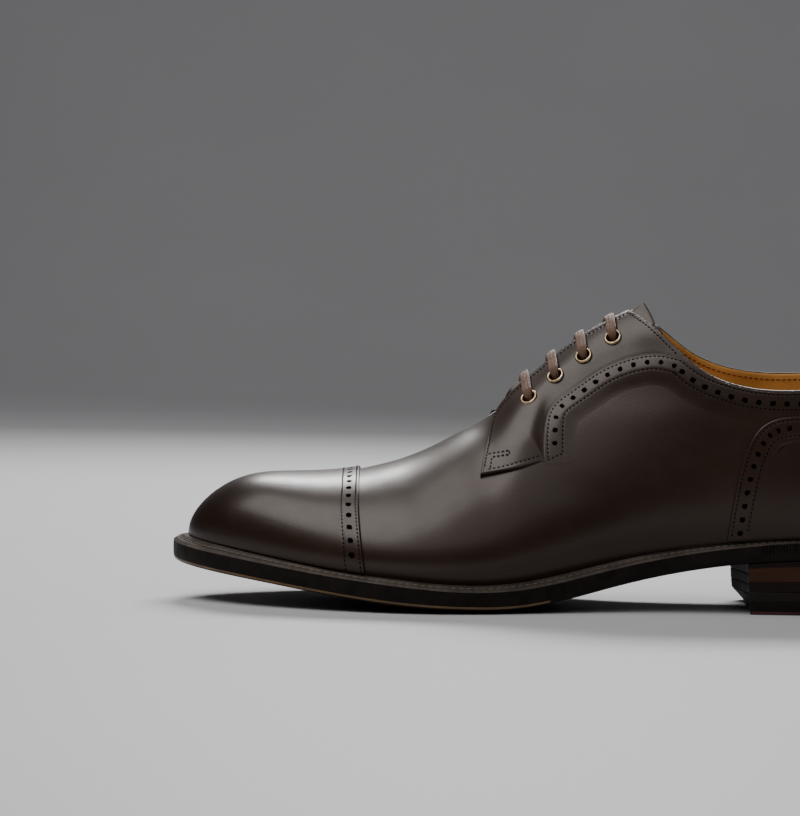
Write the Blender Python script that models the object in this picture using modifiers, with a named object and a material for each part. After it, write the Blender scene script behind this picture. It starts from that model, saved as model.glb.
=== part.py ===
"""A left semi brogue: a lasted leather derby with a welted sole and a stacked heel.

The shoe stands on z = 0 with its toe along +X and its outer side along +Y.
Sizes are in millimetres. A station is a place along the last, counted from the back of the
sole towards the toe, and a height is counted from the floor.
"""

import math

import bmesh
import bpy
import numpy as np
from mathutils import Matrix, Vector

OBJECT_NAME = "semi_brogue"
MM = 0.001
LATERAL = 1
MEDIAL = -1

# The last: where its bottom starts and ends, and where the toe and heel lie across the shoe
SHOE_LENGTH = 303.0
HEEL_MARGIN = 2.5
TOE_MARGIN = 7.2
TOE_Y = -3.0
HEEL_Y = 0.0

# Leather, gaps and sole layers
GAP = 0.3
FEATHER_GAP = 0.4
WALL = 2.0
OVERLAY = 1.0
FACING_LEATHER = 1.3
FACING_GAP = 0.6
TONGUE_LEATHER = 2.0
WELT_THICKNESS = 2.7
WELT_LEDGE = 2.8
WELT_SLOPE = 1.7
INSOLE_RISE = 1.5
EDGE_BEVEL = 0.9
EDGE_ROUND = 0.5
TREAD_INSET = 1.1
FLOOR_ROUNDING = 2.2

# Heel
HEEL_BREAST = 73.5
BREAST_HOLLOW = 4.0
BREAST_LEAN = 1.2
HEEL_INSET = 0.8
HEEL_TAPER = 2.2
HEEL_HEIGHT = 21.6
CORNER_HEIGHT = 5.6
CORNER_SLANT = 0.9
CORNER_SHARE = 0.3

# Collar, throat, overlays
FAN_STATION = 100.0
FAN_REACH = 46.0
THROAT_FRONT = 176.0
THROAT_FULL = 164.0
THROAT_HALF = 8.0
FACING_HALF = 6.0
FACING_INSET = 1.0
FACING_END_SHARE = 0.012
FLAP_SHARE = 0.25
FLAP_TOP = 173.0
COLLAR_FRONT = 100.0
STRIP_WIDTH = 2.0
BAND_SHARED = 132.0
BAND_OWN = 104.0
BAND_WIDTH = 6.0
BAND_STEP = 2.1
BAND_FOOT = 0.5
BAND_ROOT = -1.0
CAP_EDGE = 227.5
CAP_SWEEP = 3.0
CAP_SWEEP_RISE = 0.52
CAP_SWEEP_REACH = 30.0
COUNTER_LENGTH = 82.0
COUNTER_FOOT = 29.0
COUNTER_RISE = 50.0
COUNTER_ROUNDNESS = (13.0, 1.2)
COUNTER_FRONT = (0.6, 2.0, 4.0, 6.5, 10.0, 14.5)
OVERLAY_FOOT = 0.015
LEAST_RISE = 0.004
TONGUE_SLANT = 0.45
TONGUE_FOLD = 8.0

# Eyelets and lace
EYELET_BORE = 2.2
EYELET_BARREL = 2.7
EYELET_FLANGE = 3.75
EYELET_HOLE = 3.1
EYELET_CROWN = 0.5
EYELET_LIP = 0.1
HOLE_DEPTH = 12.0
LACE_WIDTH = 4.2
LACE_THICKNESS = 1.2
LACE_NARROW = 1.8
LACE_OVER = 3.7
LACE_UNDER = -3.5

# How finely the pieces are divided
COLUMNS = 28
THROAT_COLUMNS = (-5.0, -1.5, 0.0, 3.0, 7.0)
ROWS = 11
FRONT_STEPS = 18
BACK_STEPS = 13
RING_STEPS = 56
TURN_STEPS = 10
FLAP_STEPS = 9
THROAT_STEPS = 28
FACING_COLUMNS = 24
FACING_ROWS = 5
COUNTER_ROWS = 5
TONGUE_COLUMNS = 8
TONGUE_ROWS = 10
HEEL_STEPS = 9
BREAST_STEPS = 11
LACE_SIDES = 6


def table(columns, *rows):
    """Gives a short table as arrays, one for each named column."""
    return dict(zip(columns.split(), np.array(rows, dtype=float).T))


# Outline of the last's bottom: half widths to the outer and inner side
LAST_BOTTOM = table(
    "station lateral medial",
    (10, 21.0, 21.0),
    (30, 29.6, 29.2),
    (70, 31.4, 31.0),
    (110, 29.6, 28.5),
    (145, 35.2, 30.6),
    (180, 45.6, 40.0),
    (205, 48.4, 46.2),
    (228, 45.0, 46.6),
    (252, 36.8, 40.4),
    (275, 24.8, 29.6),
    (289, 12.4, 17.4),
)

# How far the welt and the outsole stand out beyond the last
WELT_MARGIN = table(
    "station lateral medial",
    (2.5, 2.5, 2.5),
    (60, 2.6, 2.5),
    (110, 3.6, 2.0),
    (150, 4.6, 2.8),
    (200, 5.0, 4.8),
    (260, 5.6, 5.4),
    (295.8, 7.2, 7.2),
)

# Heights along the sole's edge: top of the welt, depth of welt and outsole together,
# how much the tread is rounded down across, and how much the inner side is arched up
SOLE_EDGE = table(
    "station welt_top depth crown arch",
    (2.5, 30.7, 8.0, 0.0, 0.0),
    (50, 30.0, 8.0, 0.0, 0.0),
    (75, 28.3, 8.2, 0.4, 0.6),
    (100, 24.9, 8.6, 1.5, 2.2),
    (132, 18.3, 9.2, 3.0, 2.4),
    (164, 11.6, 9.3, 2.8, 0.8),
    (184, 10.6, 8.9, 2.7, 0.0),
    (208, 12.2, 9.2, 3.9, 0.0),
    (234, 15.0, 9.0, 2.8, 0.0),
    (266, 20.0, 9.4, 2.0, 0.0),
    (295.8, 25.8, 9.8, 0.0, 0.0),
)

# Ridge line over the last, and how far it leans to the inner side
RIDGE = table(
    "station height y",
    (2.5, 134.0, 0.0),
    (60, 132.0, -0.5),
    (92, 128.0, -2.5),
    (112, 122.6, -4.0),
    (124, 117.6, -4.5),
    (140, 108.2, -5.0),
    (155, 96.0, -5.0),
    (166, 86.0, -5.0),
    (175, 76.4, -5.0),
    (186, 69.6, -5.0),
    (200, 62.2, -5.0),
    (215, 56.4, -5.0),
    (232, 52.4, -5.0),
    (252, 50.8, -4.5),
    (266, 50.1, -4.0),
    (276, 47.8, -3.7),
    (284, 43.6, -3.4),
    (291, 37.4, -3.2),
    (295.8, 26.2, -3.0),
)

# Roundness of each half section, and the swell of the wall above the sole
SECTION = table(
    "station round_lateral round_medial swell_lateral swell_medial swell_height",
    (2.5, 2.6, 2.6, 2.6, 2.6, 22),
    (50, 2.8, 2.8, 2.8, 2.8, 22),
    (90, 2.5, 2.5, 3.4, 3.2, 22),
    (125, 1.95, 2.05, 4.6, 5.4, 20),
    (160, 1.85, 2.0, 4.2, 4.4, 16),
    (185, 1.9, 2.15, 3.6, 3.2, 14),
    (210, 2.0, 2.3, 2.8, 2.4, 12),
    (240, 2.15, 2.4, 1.8, 1.8, 10),
    (270, 2.3, 2.4, 1.0, 1.0, 8),
    (295.8, 2.2, 2.2, 0.0, 0.0, 8),
)

# Top edge of the collar on each side
COLLAR = table(
    "station lateral medial",
    (0, 99.5, 99.5),
    (10, 98.6, 98.8),
    (25, 94.6, 97.2),
    (40, 91.0, 95.7),
    (60, 88.9, 95.0),
    (78, 90.6, 97.4),
    (94, 97.6, 104.2),
    (110, 111.8, 115.6),
    (120, 118.4, 119.6),
    (130, 122.0, 123.0),
)

# Edges that the outer side shows, from the slit's end: the facing's front edge going up,
# its lower edge going back, and the band's edge going up and back to the collar
FACING_FRONT = table(
    "station height",
    (179.8, 52.6),
    (178.3, 59.7),
    (176.7, 65.4),
    (175.1, 71.1),
    (173.6, 74.9),
)
# Where the facings' edges part at the front, and by how much
FACING_CORNER = table(
    "station wider",
    (140, 0.0),
    (150, 0.4),
    (160, 1.4),
    (166.2, 2.0),
    (169.4, 2.9),
    (171.5, 4.8),
    (173.0, 6.0),
)
FACING_FOOT = table(
    "station height",
    (179.8, 52.6),
    (171.8, 54.4),
    (164.2, 56.3),
    (154.6, 59.6),
)
BAND_EDGE = table(
    "station height",
    (154.6, 59.6),
    (154.9, 66.0),
    (154.3, 72.9),
    (153.1, 77.4),
    (150.9, 80.9),
    (147.7, 83.9),
    (142.1, 88.0),
    (136.2, 92.3),
    (132.2, 94.9),
    (124.3, 98.7),
    (116.5, 101.1),
    (108.7, 101.9),
    (100.0, 100.2),
)
EYELETS = table(
    "station height",
    (159.7, 82.7),
    (149.2, 91.6),
    (138.1, 99.8),
    (126.5, 107.4),
)

# Tongue along its middle: how deep it lies under the last's surface, how far its middle
# is pushed up between the facings, and its half width
TONGUE = table(
    "station depth lift half_width",
    (188, 3.0, 0.0, 22),
    (177, 3.8, 0.0, 24),
    (174.5, 3.9, 0.9, 24),
    (172.5, 4.0, 3.4, 24.5),
    (170, 4.2, 6.2, 25),
    (167, 4.5, 6.0, 25),
    (162, 4.8, 4.2, 26),
    (152, 5.0, 1.6, 27),
    (140, 5.0, 1.4, 27),
    (126, 5.0, 3.0, 26),
    (115.5, 5.0, 6.4, 22),
)

# How the lace comes up through an eyelet: its shift towards the throat, its lift off the wall,
# and how far it is spread flat
LACE_CLIMB = table(
    "shift lift spread",
    (0.0, LACE_UNDER + 0.7, 0.0),
    (0.0, -0.5, 0.0),
    (0.0, 1.4, 0.0),
    (0.4, 2.5, 0.0),
    (1.5, LACE_OVER - 0.1, 0.2),
    (3.4, LACE_OVER, 1.0),
)

# The lace's hidden runs under the facings, counted in eyelets from the lowest one
HIDDEN_END = table("eyelet shift", (2.95, -5.5), (2.6, -5.0), (2.25, -2.2))
HIDDEN_DOWN = table("eyelet shift", (1.75, -2.2), (1.4, -5.0), (1, -5.5), (0.6, -5.0), (0.25, -2.2))
HIDDEN_STEP = table("eyelet shift", (0.25, 0.0), (0.75, 0.0))
HIDDEN_UP = table("eyelet shift", (1.25, 1.6), (1.6, 4.0), (2, 4.6), (2.4, 4.0), (2.75, 1.6))

# The heel's stack from the floor up to the heel seat
HEEL_STACK = (
    ("heel_top_piece", 0.0, 5.0),
    ("heel_lift_3", 5.0, 9.0),
    ("heel_lift_2", 9.0, 13.1),
    ("heel_lift_1", 13.1, HEEL_HEIGHT),
)

# The band across its width, as a loop: share of the width from its edge, and lift off the wall
BAND_LANES = (
    (0.0, BAND_STEP),
    (0.5, 0.8 * BAND_STEP),
    (1.0, BAND_FOOT),
    (1.0, BAND_ROOT),
    (0.5, BAND_ROOT),
    (0.0, BAND_ROOT),
)

COLOURS = {
    "calf": (0.030, 0.015, 0.010),
    "lining": (0.300, 0.160, 0.060),
    "lace": (0.080, 0.045, 0.030),
    "brass": (0.330, 0.230, 0.110),
    "welt": (0.110, 0.085, 0.065),
    "sole_edge": (0.020, 0.013, 0.010),
    "heel": (0.035, 0.014, 0.008),
    "top_piece": (0.012, 0.008, 0.007),
}


def smooth_curve(knots, values):
    """Gives a natural cubic spline through a few rows, as a function."""
    knots = np.asarray(knots, dtype=float)
    values = np.asarray(values, dtype=float)
    count = len(knots)
    gaps = np.diff(knots)
    slopes = np.diff(values) / gaps
    system = np.eye(count)
    known = np.zeros(count)
    for row in range(1, count - 1):
        system[row, row - 1 : row + 2] = gaps[row - 1], 2 * (gaps[row - 1] + gaps[row]), gaps[row]
        known[row] = 6 * (slopes[row] - slopes[row - 1])
    bend = np.linalg.solve(system, known)

    def value_at(place):
        place = np.clip(np.asarray(place, dtype=float), knots[0], knots[-1])
        left = np.clip(np.searchsorted(knots, place) - 1, 0, count - 2)
        right = left + 1
        width = gaps[left]
        before = place - knots[left]
        after = knots[right] - place
        cubic = (bend[left] * after**3 + bend[right] * before**3) / (6 * width)
        near = (values[left] / width - bend[left] * width / 6) * after
        far = (values[right] / width - bend[right] * width / 6) * before
        return cubic + near + far

    return value_at


def smooth_path(rows, count):
    """Gives evenly spaced stations and heights on a smooth line through a table's rows."""
    steps = np.hypot(np.diff(rows["station"]), np.diff(rows["height"]))
    way = np.concatenate([[0.0], np.cumsum(steps)])
    places = np.linspace(0.0, way[-1], count)
    return smooth_curve(way, rows["station"])(places), smooth_curve(way, rows["height"])(places)


TOE_STATION = SHOE_LENGTH - TOE_MARGIN
BOTTOM_LENGTH = TOE_STATION - HEEL_MARGIN


def lap_at(station):
    """Turns a station into a lap: 0 at the back of the last, 1 at its toe, closer spaced at both."""
    share = np.clip((np.asarray(station, dtype=float) - HEEL_MARGIN) / BOTTOM_LENGTH, 0.0, 1.0)
    return np.arccos(1 - 2 * share) / math.pi


def station_at(lap):
    return HEEL_MARGIN + BOTTOM_LENGTH * (1 - np.cos(np.pi * np.asarray(lap))) / 2


def along_last(rows, column):
    """Gives a table's column as a smooth function of the lap."""
    return smooth_curve(lap_at(rows["station"]), rows[column])


def closed_half(column):
    """Gives one half width of the last's bottom, closed at heel and toe."""
    sign = LATERAL if column == "lateral" else MEDIAL
    laps = np.concatenate([[0.0], lap_at(LAST_BOTTOM["station"]), [1.0]])
    widths = np.concatenate([[sign * HEEL_Y], LAST_BOTTOM[column], [sign * TOE_Y]])
    return smooth_curve(laps, widths)


HALF_WIDTH = {LATERAL: closed_half("lateral"), MEDIAL: closed_half("medial")}
MARGIN = {LATERAL: along_last(WELT_MARGIN, "lateral"), MEDIAL: along_last(WELT_MARGIN, "medial")}
WELT_TOP = along_last(SOLE_EDGE, "welt_top")
SOLE_DEPTH = along_last(SOLE_EDGE, "depth")
SOLE_CROWN = along_last(SOLE_EDGE, "crown")
SOLE_ARCH = along_last(SOLE_EDGE, "arch")
RIDGE_HEIGHT = along_last(RIDGE, "height")
RIDGE_Y = along_last(RIDGE, "y")
ROUNDNESS = {LATERAL: along_last(SECTION, "round_lateral"), MEDIAL: along_last(SECTION, "round_medial")}
SWELL = {LATERAL: along_last(SECTION, "swell_lateral"), MEDIAL: along_last(SECTION, "swell_medial")}
SWELL_HEIGHT = along_last(SECTION, "swell_height")
COLLAR_HEIGHT = {
    LATERAL: smooth_curve(COLLAR["station"], COLLAR["lateral"]),
    MEDIAL: smooth_curve(COLLAR["station"], COLLAR["medial"]),
}


def bottom_edge(side, lap, outward):
    """Gives the plan line that runs a distance outside the last's bottom edge."""
    lap = np.asarray(lap, dtype=float)
    outward = np.asarray(outward, dtype=float)
    step = 1e-4
    forward = station_at(lap + step) - station_at(lap - step)
    sideways = HALF_WIDTH[side](lap + step) - HALF_WIDTH[side](lap - step)
    length = np.hypot(forward, sideways)
    station = station_at(lap) - outward * sideways / length
    y = side * (HALF_WIDTH[side](lap) + outward * forward / length)
    return station, y


def welt_top(side, lap):
    return WELT_TOP(lap) + (SOLE_ARCH(lap) if side == MEDIAL else 0.0)


def last_point(side, lap, rise):
    """Gives a point on the last: rise 0 is its bottom edge and rise 1 its ridge."""
    lap, rise = np.broadcast_arrays(np.asarray(lap, dtype=float), np.asarray(rise, dtype=float))
    station = station_at(lap)
    edge_y = side * HALF_WIDTH[side](lap)
    edge_z = welt_top(side, lap) + FEATHER_GAP
    fan = np.clip((FAN_STATION - station) / (FAN_STATION - HEEL_MARGIN), 0.0, 1.0)
    ridge_station = station + FAN_REACH * fan**2
    ridge_y = RIDGE_Y(lap)
    height = np.maximum(RIDGE_HEIGHT(lap) - edge_z, 0.0)
    turn = rise * math.pi / 2
    power = ROUNDNESS[side](lap)
    reach = (np.abs(np.cos(turn)) ** power + np.abs(np.sin(turn)) ** power) ** (-1 / power)
    out = reach * np.cos(turn)
    up = height * reach * np.sin(turn)
    away = np.stack([station - ridge_station, edge_y - ridge_y], axis=-1)
    span = np.maximum(np.linalg.norm(away, axis=-1), 1e-6)
    lean = up / SWELL_HEIGHT(lap)
    swell = np.maximum(SWELL[side](lap), 0.0) * lean * np.exp(1 - lean) * np.cos(turn)
    share = out + swell / span * np.minimum(1.0, span / 4.0)
    return np.stack(
        [ridge_station + away[..., 0] * share, ridge_y + away[..., 1] * share, edge_z + up], axis=-1
    )


def last_slopes(side, lap, rise):
    """Gives how the last's surface runs along and up at a point."""
    lap = np.clip(np.asarray(lap, dtype=float), 0.0005, 0.9985)
    rise = np.asarray(rise, dtype=float)
    step = 4e-4
    along = (last_point(side, lap + step, rise) - last_point(side, lap - step, rise)) / (2 * step)
    upward = (last_point(side, lap, rise + step) - last_point(side, lap, rise - step)) / (2 * step)
    return along, upward


def last_normal(side, lap, rise):
    """Gives the outward direction, shared by both sides along the ridge and at the toe's tip."""
    lap, rise = np.broadcast_arrays(np.asarray(lap, dtype=float), np.asarray(rise, dtype=float))

    def one_side(which):
        along, upward = last_slopes(which, lap, rise)
        normal = np.cross(upward, along) * which
        return normal / np.linalg.norm(normal, axis=-1, keepdims=True)

    normal = one_side(side)
    normal = np.where(rise[..., None] > 0.9995, normal + one_side(-side), normal)
    normal = np.where(lap[..., None] > 0.9995, np.array([1.0, 0.0, 0.0]), normal)
    return normal / np.linalg.norm(normal, axis=-1, keepdims=True)


def off_last(side, lap, rise, lift):
    """Gives a point a distance outside the last's surface, or inside it where the lift is negative."""
    return last_point(side, lap, rise) + last_normal(side, lap, rise) * np.asarray(lift)[..., None]


def solve_rise(wanted, low=0.0, high=1.0):
    """Finds the rise where a function that grows with the rise reaches zero."""
    low = np.asarray(low, dtype=float)
    high = np.asarray(high, dtype=float)
    for _ in range(40):
        middle = (low + high) / 2
        above = wanted(middle) > 0
        high = np.where(above, middle, high)
        low = np.where(above, low, middle)
    return (low + high) / 2


def rise_at_height(side, lap, height):
    lap, height = np.broadcast_arrays(np.asarray(lap, dtype=float), np.asarray(height, dtype=float))
    zero = np.zeros(lap.shape)
    return solve_rise(lambda rise: last_point(side, lap, rise)[..., 2] - height, zero, zero + 1)


def rise_beside_ridge(side, lap, distance):
    """Finds the rise at a distance across from the ridge."""
    lap, distance = np.broadcast_arrays(np.asarray(lap, dtype=float), np.asarray(distance, dtype=float))
    zero = np.zeros(lap.shape)

    def nearness(rise):
        return distance - np.abs(last_point(side, lap, rise)[..., 1] - RIDGE_Y(lap))

    return solve_rise(nearness, zero + 0.4, zero + 1)


def throat_half(station):
    """Gives half the throat's width: a pointed front that widens to parallel edges."""
    share = np.clip((THROAT_FRONT - station) / (THROAT_FRONT - THROAT_FULL), 0.0, 1.0)
    return THROAT_HALF * np.sqrt(share * (2 - share))


def collar_rise(side, lap):
    """Gives the rise of the collar's top edge."""
    zero = np.zeros(np.shape(lap))

    def over_collar(rise):
        point = last_point(side, lap, rise)
        return point[..., 2] - COLLAR_HEIGHT[side](point[..., 0])

    return solve_rise(over_collar, zero, zero + 1)


def rim_rise(side, lap):
    """Gives the rise of the upper's open edge: the ridge on the vamp, then throat and collar."""
    lap = np.asarray(lap, dtype=float)
    station = station_at(lap)
    throat = rise_beside_ridge(side, lap, throat_half(station))
    throat = np.where((station >= THROAT_FRONT) | (station <= COLLAR_FRONT), 1.0, throat)
    collar = np.where(station > THROAT_FULL, 1.0, collar_rise(side, lap))
    return np.minimum(throat, collar)


def surface_step(side, lap, rise, direction, distance):
    """Moves along the last's surface by a short distance in a given direction."""
    along, upward = last_slopes(side, lap, rise)
    grow = np.stack([along, upward], axis=-1)
    solution = np.linalg.pinv(grow) @ (direction * distance)[..., None]
    return lap + solution[..., 0, 0], rise + solution[..., 1, 0]


def material(name, roughness=0.4, metallic=0.0):
    found = bpy.data.materials.get(name)
    if found:
        return found
    made = bpy.data.materials.new(name)
    made.use_nodes = True
    shader = made.node_tree.nodes["Principled BSDF"]
    shader.inputs["Base Color"].default_value = (*COLOURS[name], 1.0)
    shader.inputs["Roughness"].default_value = roughness
    shader.inputs["Metallic"].default_value = metallic
    return made


def collection(name):
    made = bpy.data.collections.new(name)
    bpy.context.scene.collection.children.link(made)
    return made


def add_object(name, mesh, home, look):
    made = bpy.data.objects.new(name, mesh)
    mesh.shade_smooth()
    mesh.set_sharp_from_angle(angle=math.radians(35))
    mesh.materials.append(look)
    home.objects.link(made)
    return made


def woven(name, columns, rows, place, home, look, closed=True):
    """Makes a piece from a grid whose every point is put in place by a function of its column and row.

    Points that fall together are merged, so a grid that runs round a form closes itself.
    """
    sheet = bmesh.new()
    bmesh.ops.create_grid(sheet, x_segments=columns, y_segments=rows, size=0.5)
    points = list(sheet.verts)
    column = np.array([point.co.x + 0.5 for point in points])
    row = np.array([point.co.y + 0.5 for point in points])
    for point, target in zip(points, place(column, row)):
        point.co = Vector(target) * MM
    bmesh.ops.remove_doubles(sheet, verts=sheet.verts, dist=0.00002)
    bmesh.ops.dissolve_degenerate(sheet, edges=sheet.edges, dist=0.00001)
    if closed:
        bmesh.ops.recalc_face_normals(sheet, faces=sheet.faces)
    mesh = bpy.data.meshes.new(name)
    sheet.to_mesh(mesh)
    sheet.free()
    return add_object(name, mesh, home, look)


def thicken(piece, thickness, outward):
    """Gives an open sheet of leather its thickness."""
    shell = piece.modifiers.new("leather", "SOLIDIFY")
    shell.thickness = thickness * MM
    shell.offset = 1.0 if outward else -1.0
    shell.use_rim = True


def boolean(piece, operation, other):
    cut = piece.modifiers.new(operation.lower(), "BOOLEAN")
    cut.operation = operation
    cut.solver = "EXACT"
    cut.object = other


def as_cutter(piece):
    piece.hide_render = True
    piece.display_type = "WIRE"
    return piece


def round_trip(column):
    """Splits a trip round the shoe, toe to heel outside and back inside, into side and lap."""
    lap = np.abs(1 - 2 * column)
    return column <= 0.5, lap


def both_sides(outer, lap, shape):
    """Works a shape out on the outer and the inner side and picks the right one for each point."""
    return np.where(outer[:, None], shape(LATERAL, lap), shape(MEDIAL, lap))


def spread(share, places):
    """Reads a list of places at a share of its length."""
    return np.interp(share * (len(places) - 1), np.arange(len(places)), places)


def column_laps():
    """Gives the upper's columns from toe to heel, with extra ones at the throat and the cap's edge."""
    even = np.linspace(1.0, 0.0, COLUMNS + 1)
    marked = lap_at([*(THROAT_FRONT + np.array(THROAT_COLUMNS)), CAP_EDGE])
    clear = np.min(np.abs(even[:, None] - marked[None, :]), axis=1) > 0.007
    return np.sort(np.concatenate([even[clear], marked]))[::-1]


def trip_laps(column):
    """Gives side and lap for the upper's own columns."""
    laps = column_laps()
    return column <= 0.5, spread(1 - np.abs(1 - 2 * column), laps)


def make_upper(home, cutters):
    def place(column, row):
        outer, lap = trip_laps(column)
        return both_sides(outer, lap, lambda side, at: last_point(side, at, row * rim_rise(side, at)))

    columns = 2 * (len(column_laps()) - 1)
    upper = woven("upper", columns, ROWS, place, home, material("calf"), closed=False)
    thicken(upper, WALL, outward=False)
    boolean(upper, "UNION", make_band(cutters))
    for side in (LATERAL, MEDIAL):
        boolean(upper, "DIFFERENCE", make_eyelet_holes(side, cutters))
    return upper


def band_line(side):
    """Gives laps and rises of the band's edge: from the slit's end up the facing, then along the collar."""
    station, height = smooth_path(BAND_EDGE, FRONT_STEPS)
    lap = lap_at(station)
    rise = rise_at_height(LATERAL, lap, height)
    higher = COLLAR_HEIGHT[side](station) - COLLAR_HEIGHT[LATERAL](station)
    by_height = rise_at_height(side, lap, height + higher)
    rise = rise + (by_height - rise) * np.clip((BAND_SHARED - station) / (BAND_SHARED - BAND_OWN), 0.0, 1.0)
    back = np.linspace(lap[-1], 0.0, BACK_STEPS + 1)[1:]
    rim_height = last_point(side, back, rim_rise(side, back))[..., 2]
    last_height = last_point(side, lap[-1], rise[-1])[2]
    strip = last_point(side, lap[-1], rim_rise(side, lap[-1]))[2] - last_height
    settle = np.clip(3 * np.arange(1, BACK_STEPS + 1) / BACK_STEPS, 0.0, 1.0)
    strips = strip + (STRIP_WIDTH - strip) * settle
    back_rise = rise_at_height(side, back, rim_height - strips)
    return np.concatenate([lap, back]), np.concatenate([rise, back_rise])


def band_strip(side):
    """Gives the band's lanes on one side, from its edge to its foot, over and under the wall's surface."""
    lap, rise = band_line(side)
    points = last_point(side, lap, rise)
    tangent = np.gradient(points, axis=0)
    tangent[-1] *= (0, 1, 0)
    tangent /= np.linalg.norm(tangent, axis=-1, keepdims=True)
    away = np.cross(tangent, last_normal(side, lap, rise)) * side
    lanes = []
    for share, lift in BAND_LANES:
        moved = surface_step(side, lap, rise, away, share * BAND_WIDTH)
        lanes.append(off_last(side, np.clip(moved[0], 0.0, 1.0), moved[1], np.full(lap.shape, lift)))
    return np.stack(lanes, axis=1)


def make_band(cutters):
    """Makes the punched band that is fused to the wall, from slit to slit round the back of the collar."""
    outer = band_strip(LATERAL)
    inner = band_strip(MEDIAL)[::-1]
    outer[-1] = inner[0] = (outer[-1] + inner[0]) / 2
    strip = np.concatenate([outer, inner[1:]])
    lanes = len(BAND_LANES)

    def place(column, row):
        at = np.rint(column * (len(strip) + 1)).astype(int) - 1
        end = (at < 0) | (at >= len(strip))
        at = np.clip(at, 0, len(strip) - 1)
        lane = np.rint(row * lanes).astype(int) % lanes
        return np.where(end[:, None], strip[at].mean(axis=1), strip[at, lane])

    return as_cutter(woven("band", len(strip) + 1, lanes, place, cutters, material("calf")))


def swept_lap(lap, rise):
    """Moves laps back near the sole, so that the cap's edge slants there, and less further ahead."""
    station = station_at(lap)
    low = np.clip(1 - rise / CAP_SWEEP_RISE, 0.0, 1.0) ** 1.5
    near = np.clip(1 - (station - CAP_EDGE) / CAP_SWEEP_REACH, 0.0, 1.0)
    return lap_at(station - CAP_SWEEP * low * near)


def make_toe_cap(home):
    laps = column_laps()
    laps = laps[laps >= lap_at(CAP_EDGE) - 1e-6]

    def place(column, row):
        outer = column <= 0.5
        lap = spread(np.abs(1 - 2 * column), laps)
        lift = np.full(lap.shape, GAP)
        rise = OVERLAY_FOOT + (1 - OVERLAY_FOOT) * row
        return both_sides(outer, lap, lambda side, at: off_last(side, swept_lap(at, rise), rise, lift))

    def mirrored(column, row):
        return place(1 - column, row)

    cap = woven("toe_cap", 2 * (len(laps) - 1), ROWS, mirrored, home, material("calf"), closed=False)
    thicken(cap, OVERLAY, outward=True)
    return cap


def counter_height(station):
    """Gives the counter's top edge: level at the back, rounding down to its front end."""
    length_power, height_power = COUNTER_ROUNDNESS
    share = np.clip(station / COUNTER_LENGTH, 0.0, 1.0)
    return COUNTER_FOOT + COUNTER_RISE * (1 - share**length_power) ** (1 / height_power)


def make_counter(home):
    near_front = lap_at(COUNTER_LENGTH - np.array(COUNTER_FRONT))
    laps = column_laps()
    laps = np.concatenate([near_front, laps[laps < near_front[-1] - 0.01]])

    def place(column, row):
        outer = column <= 0.5
        lap = spread(1 - np.abs(1 - 2 * column), laps)

        def shape(side, at):
            top = rise_at_height(side, at, counter_height(station_at(at)))
            rise = OVERLAY_FOOT + np.maximum(top - OVERLAY_FOOT, LEAST_RISE) * row
            return off_last(side, at, rise, np.full(at.shape, GAP))

        return both_sides(outer, lap, shape)

    columns = 2 * (len(laps) - 1)
    counter = woven("counter", columns, COUNTER_ROWS, place, home, material("calf"), closed=False)
    thicken(counter, OVERLAY, outward=True)
    return counter


def facing_half(station):
    """Gives half the gap between the facings: parallel edges that round off to the flaps' fronts."""
    return np.interp(station, FACING_CORNER["station"], FACING_HALF + FACING_CORNER["wider"])


def facing_edges(side):
    """Gives laps and rises of the facing's two edges: front, throat and collar, and foot and band."""
    front_station, front_height = smooth_path(FACING_FRONT, FLAP_STEPS)
    front_lap = lap_at(front_station)
    front_rise = rise_at_height(LATERAL, front_lap, front_height)
    throat_station = np.linspace(FLAP_TOP, COLLAR_FRONT, THROAT_STEPS)
    throat_lap = lap_at(throat_station)
    throat_rise = np.minimum(
        rise_beside_ridge(side, throat_lap, facing_half(throat_station)), collar_rise(side, throat_lap)
    )
    foot_station, foot_height = smooth_path(FACING_FOOT, FLAP_STEPS)
    foot_lap = lap_at(foot_station)
    foot_rise = rise_at_height(LATERAL, foot_lap, foot_height)
    band_lap, band_rise = band_line(side)
    band_lap = band_lap[:FRONT_STEPS]
    band_rise = band_rise[:FRONT_STEPS]
    upper_edge = np.concatenate([front_lap, throat_lap]), np.concatenate([front_rise, throat_rise])
    lower_edge = np.concatenate([foot_lap, band_lap]), np.concatenate([foot_rise, band_rise])
    return upper_edge, lower_edge


def read_edge(edge, share):
    """Reads a facing's edge: the flap's part of it at the first share, the rest after it."""
    laps, rises = edge
    flap = np.clip(share / FLAP_SHARE, 0.0, 1.0) * (FLAP_STEPS - 1)
    rest = np.clip((share - FLAP_SHARE) / (1 - FLAP_SHARE), 0.0, 1.0) * (len(laps) - FLAP_STEPS - 1)
    index = np.where(share <= FLAP_SHARE, flap, FLAP_STEPS + rest)
    places = np.arange(len(laps))
    return np.interp(index, places, laps), np.interp(index, places, rises)


def make_facing(side, name, home, cutters):
    upper_edge, lower_edge = facing_edges(side)

    def place(column, row):
        share = FACING_END_SHARE + (1 - 2 * FACING_END_SHARE) * column
        high_lap, high_rise = read_edge(upper_edge, share)
        low_lap, low_rise = read_edge(lower_edge, share)
        width = last_point(side, high_lap, high_rise) - last_point(side, low_lap, low_rise)
        inset = np.minimum(FACING_INSET / np.linalg.norm(width, axis=-1), 0.4)
        across = inset + (1 - 2 * inset) * row
        lap = low_lap + (high_lap - low_lap) * across
        rise = low_rise + (high_rise - low_rise) * across
        return off_last(side, lap, rise, np.full(lap.shape, FACING_GAP))

    def turned(column, row):
        return place(column, row) if side == LATERAL else place(column, 1 - row)

    facing = woven(name, FACING_COLUMNS, FACING_ROWS, turned, home, material("calf"), closed=False)
    thicken(facing, FACING_LEATHER, outward=True)
    boolean(facing, "DIFFERENCE", make_eyelet_holes(side, cutters))
    return facing


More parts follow.
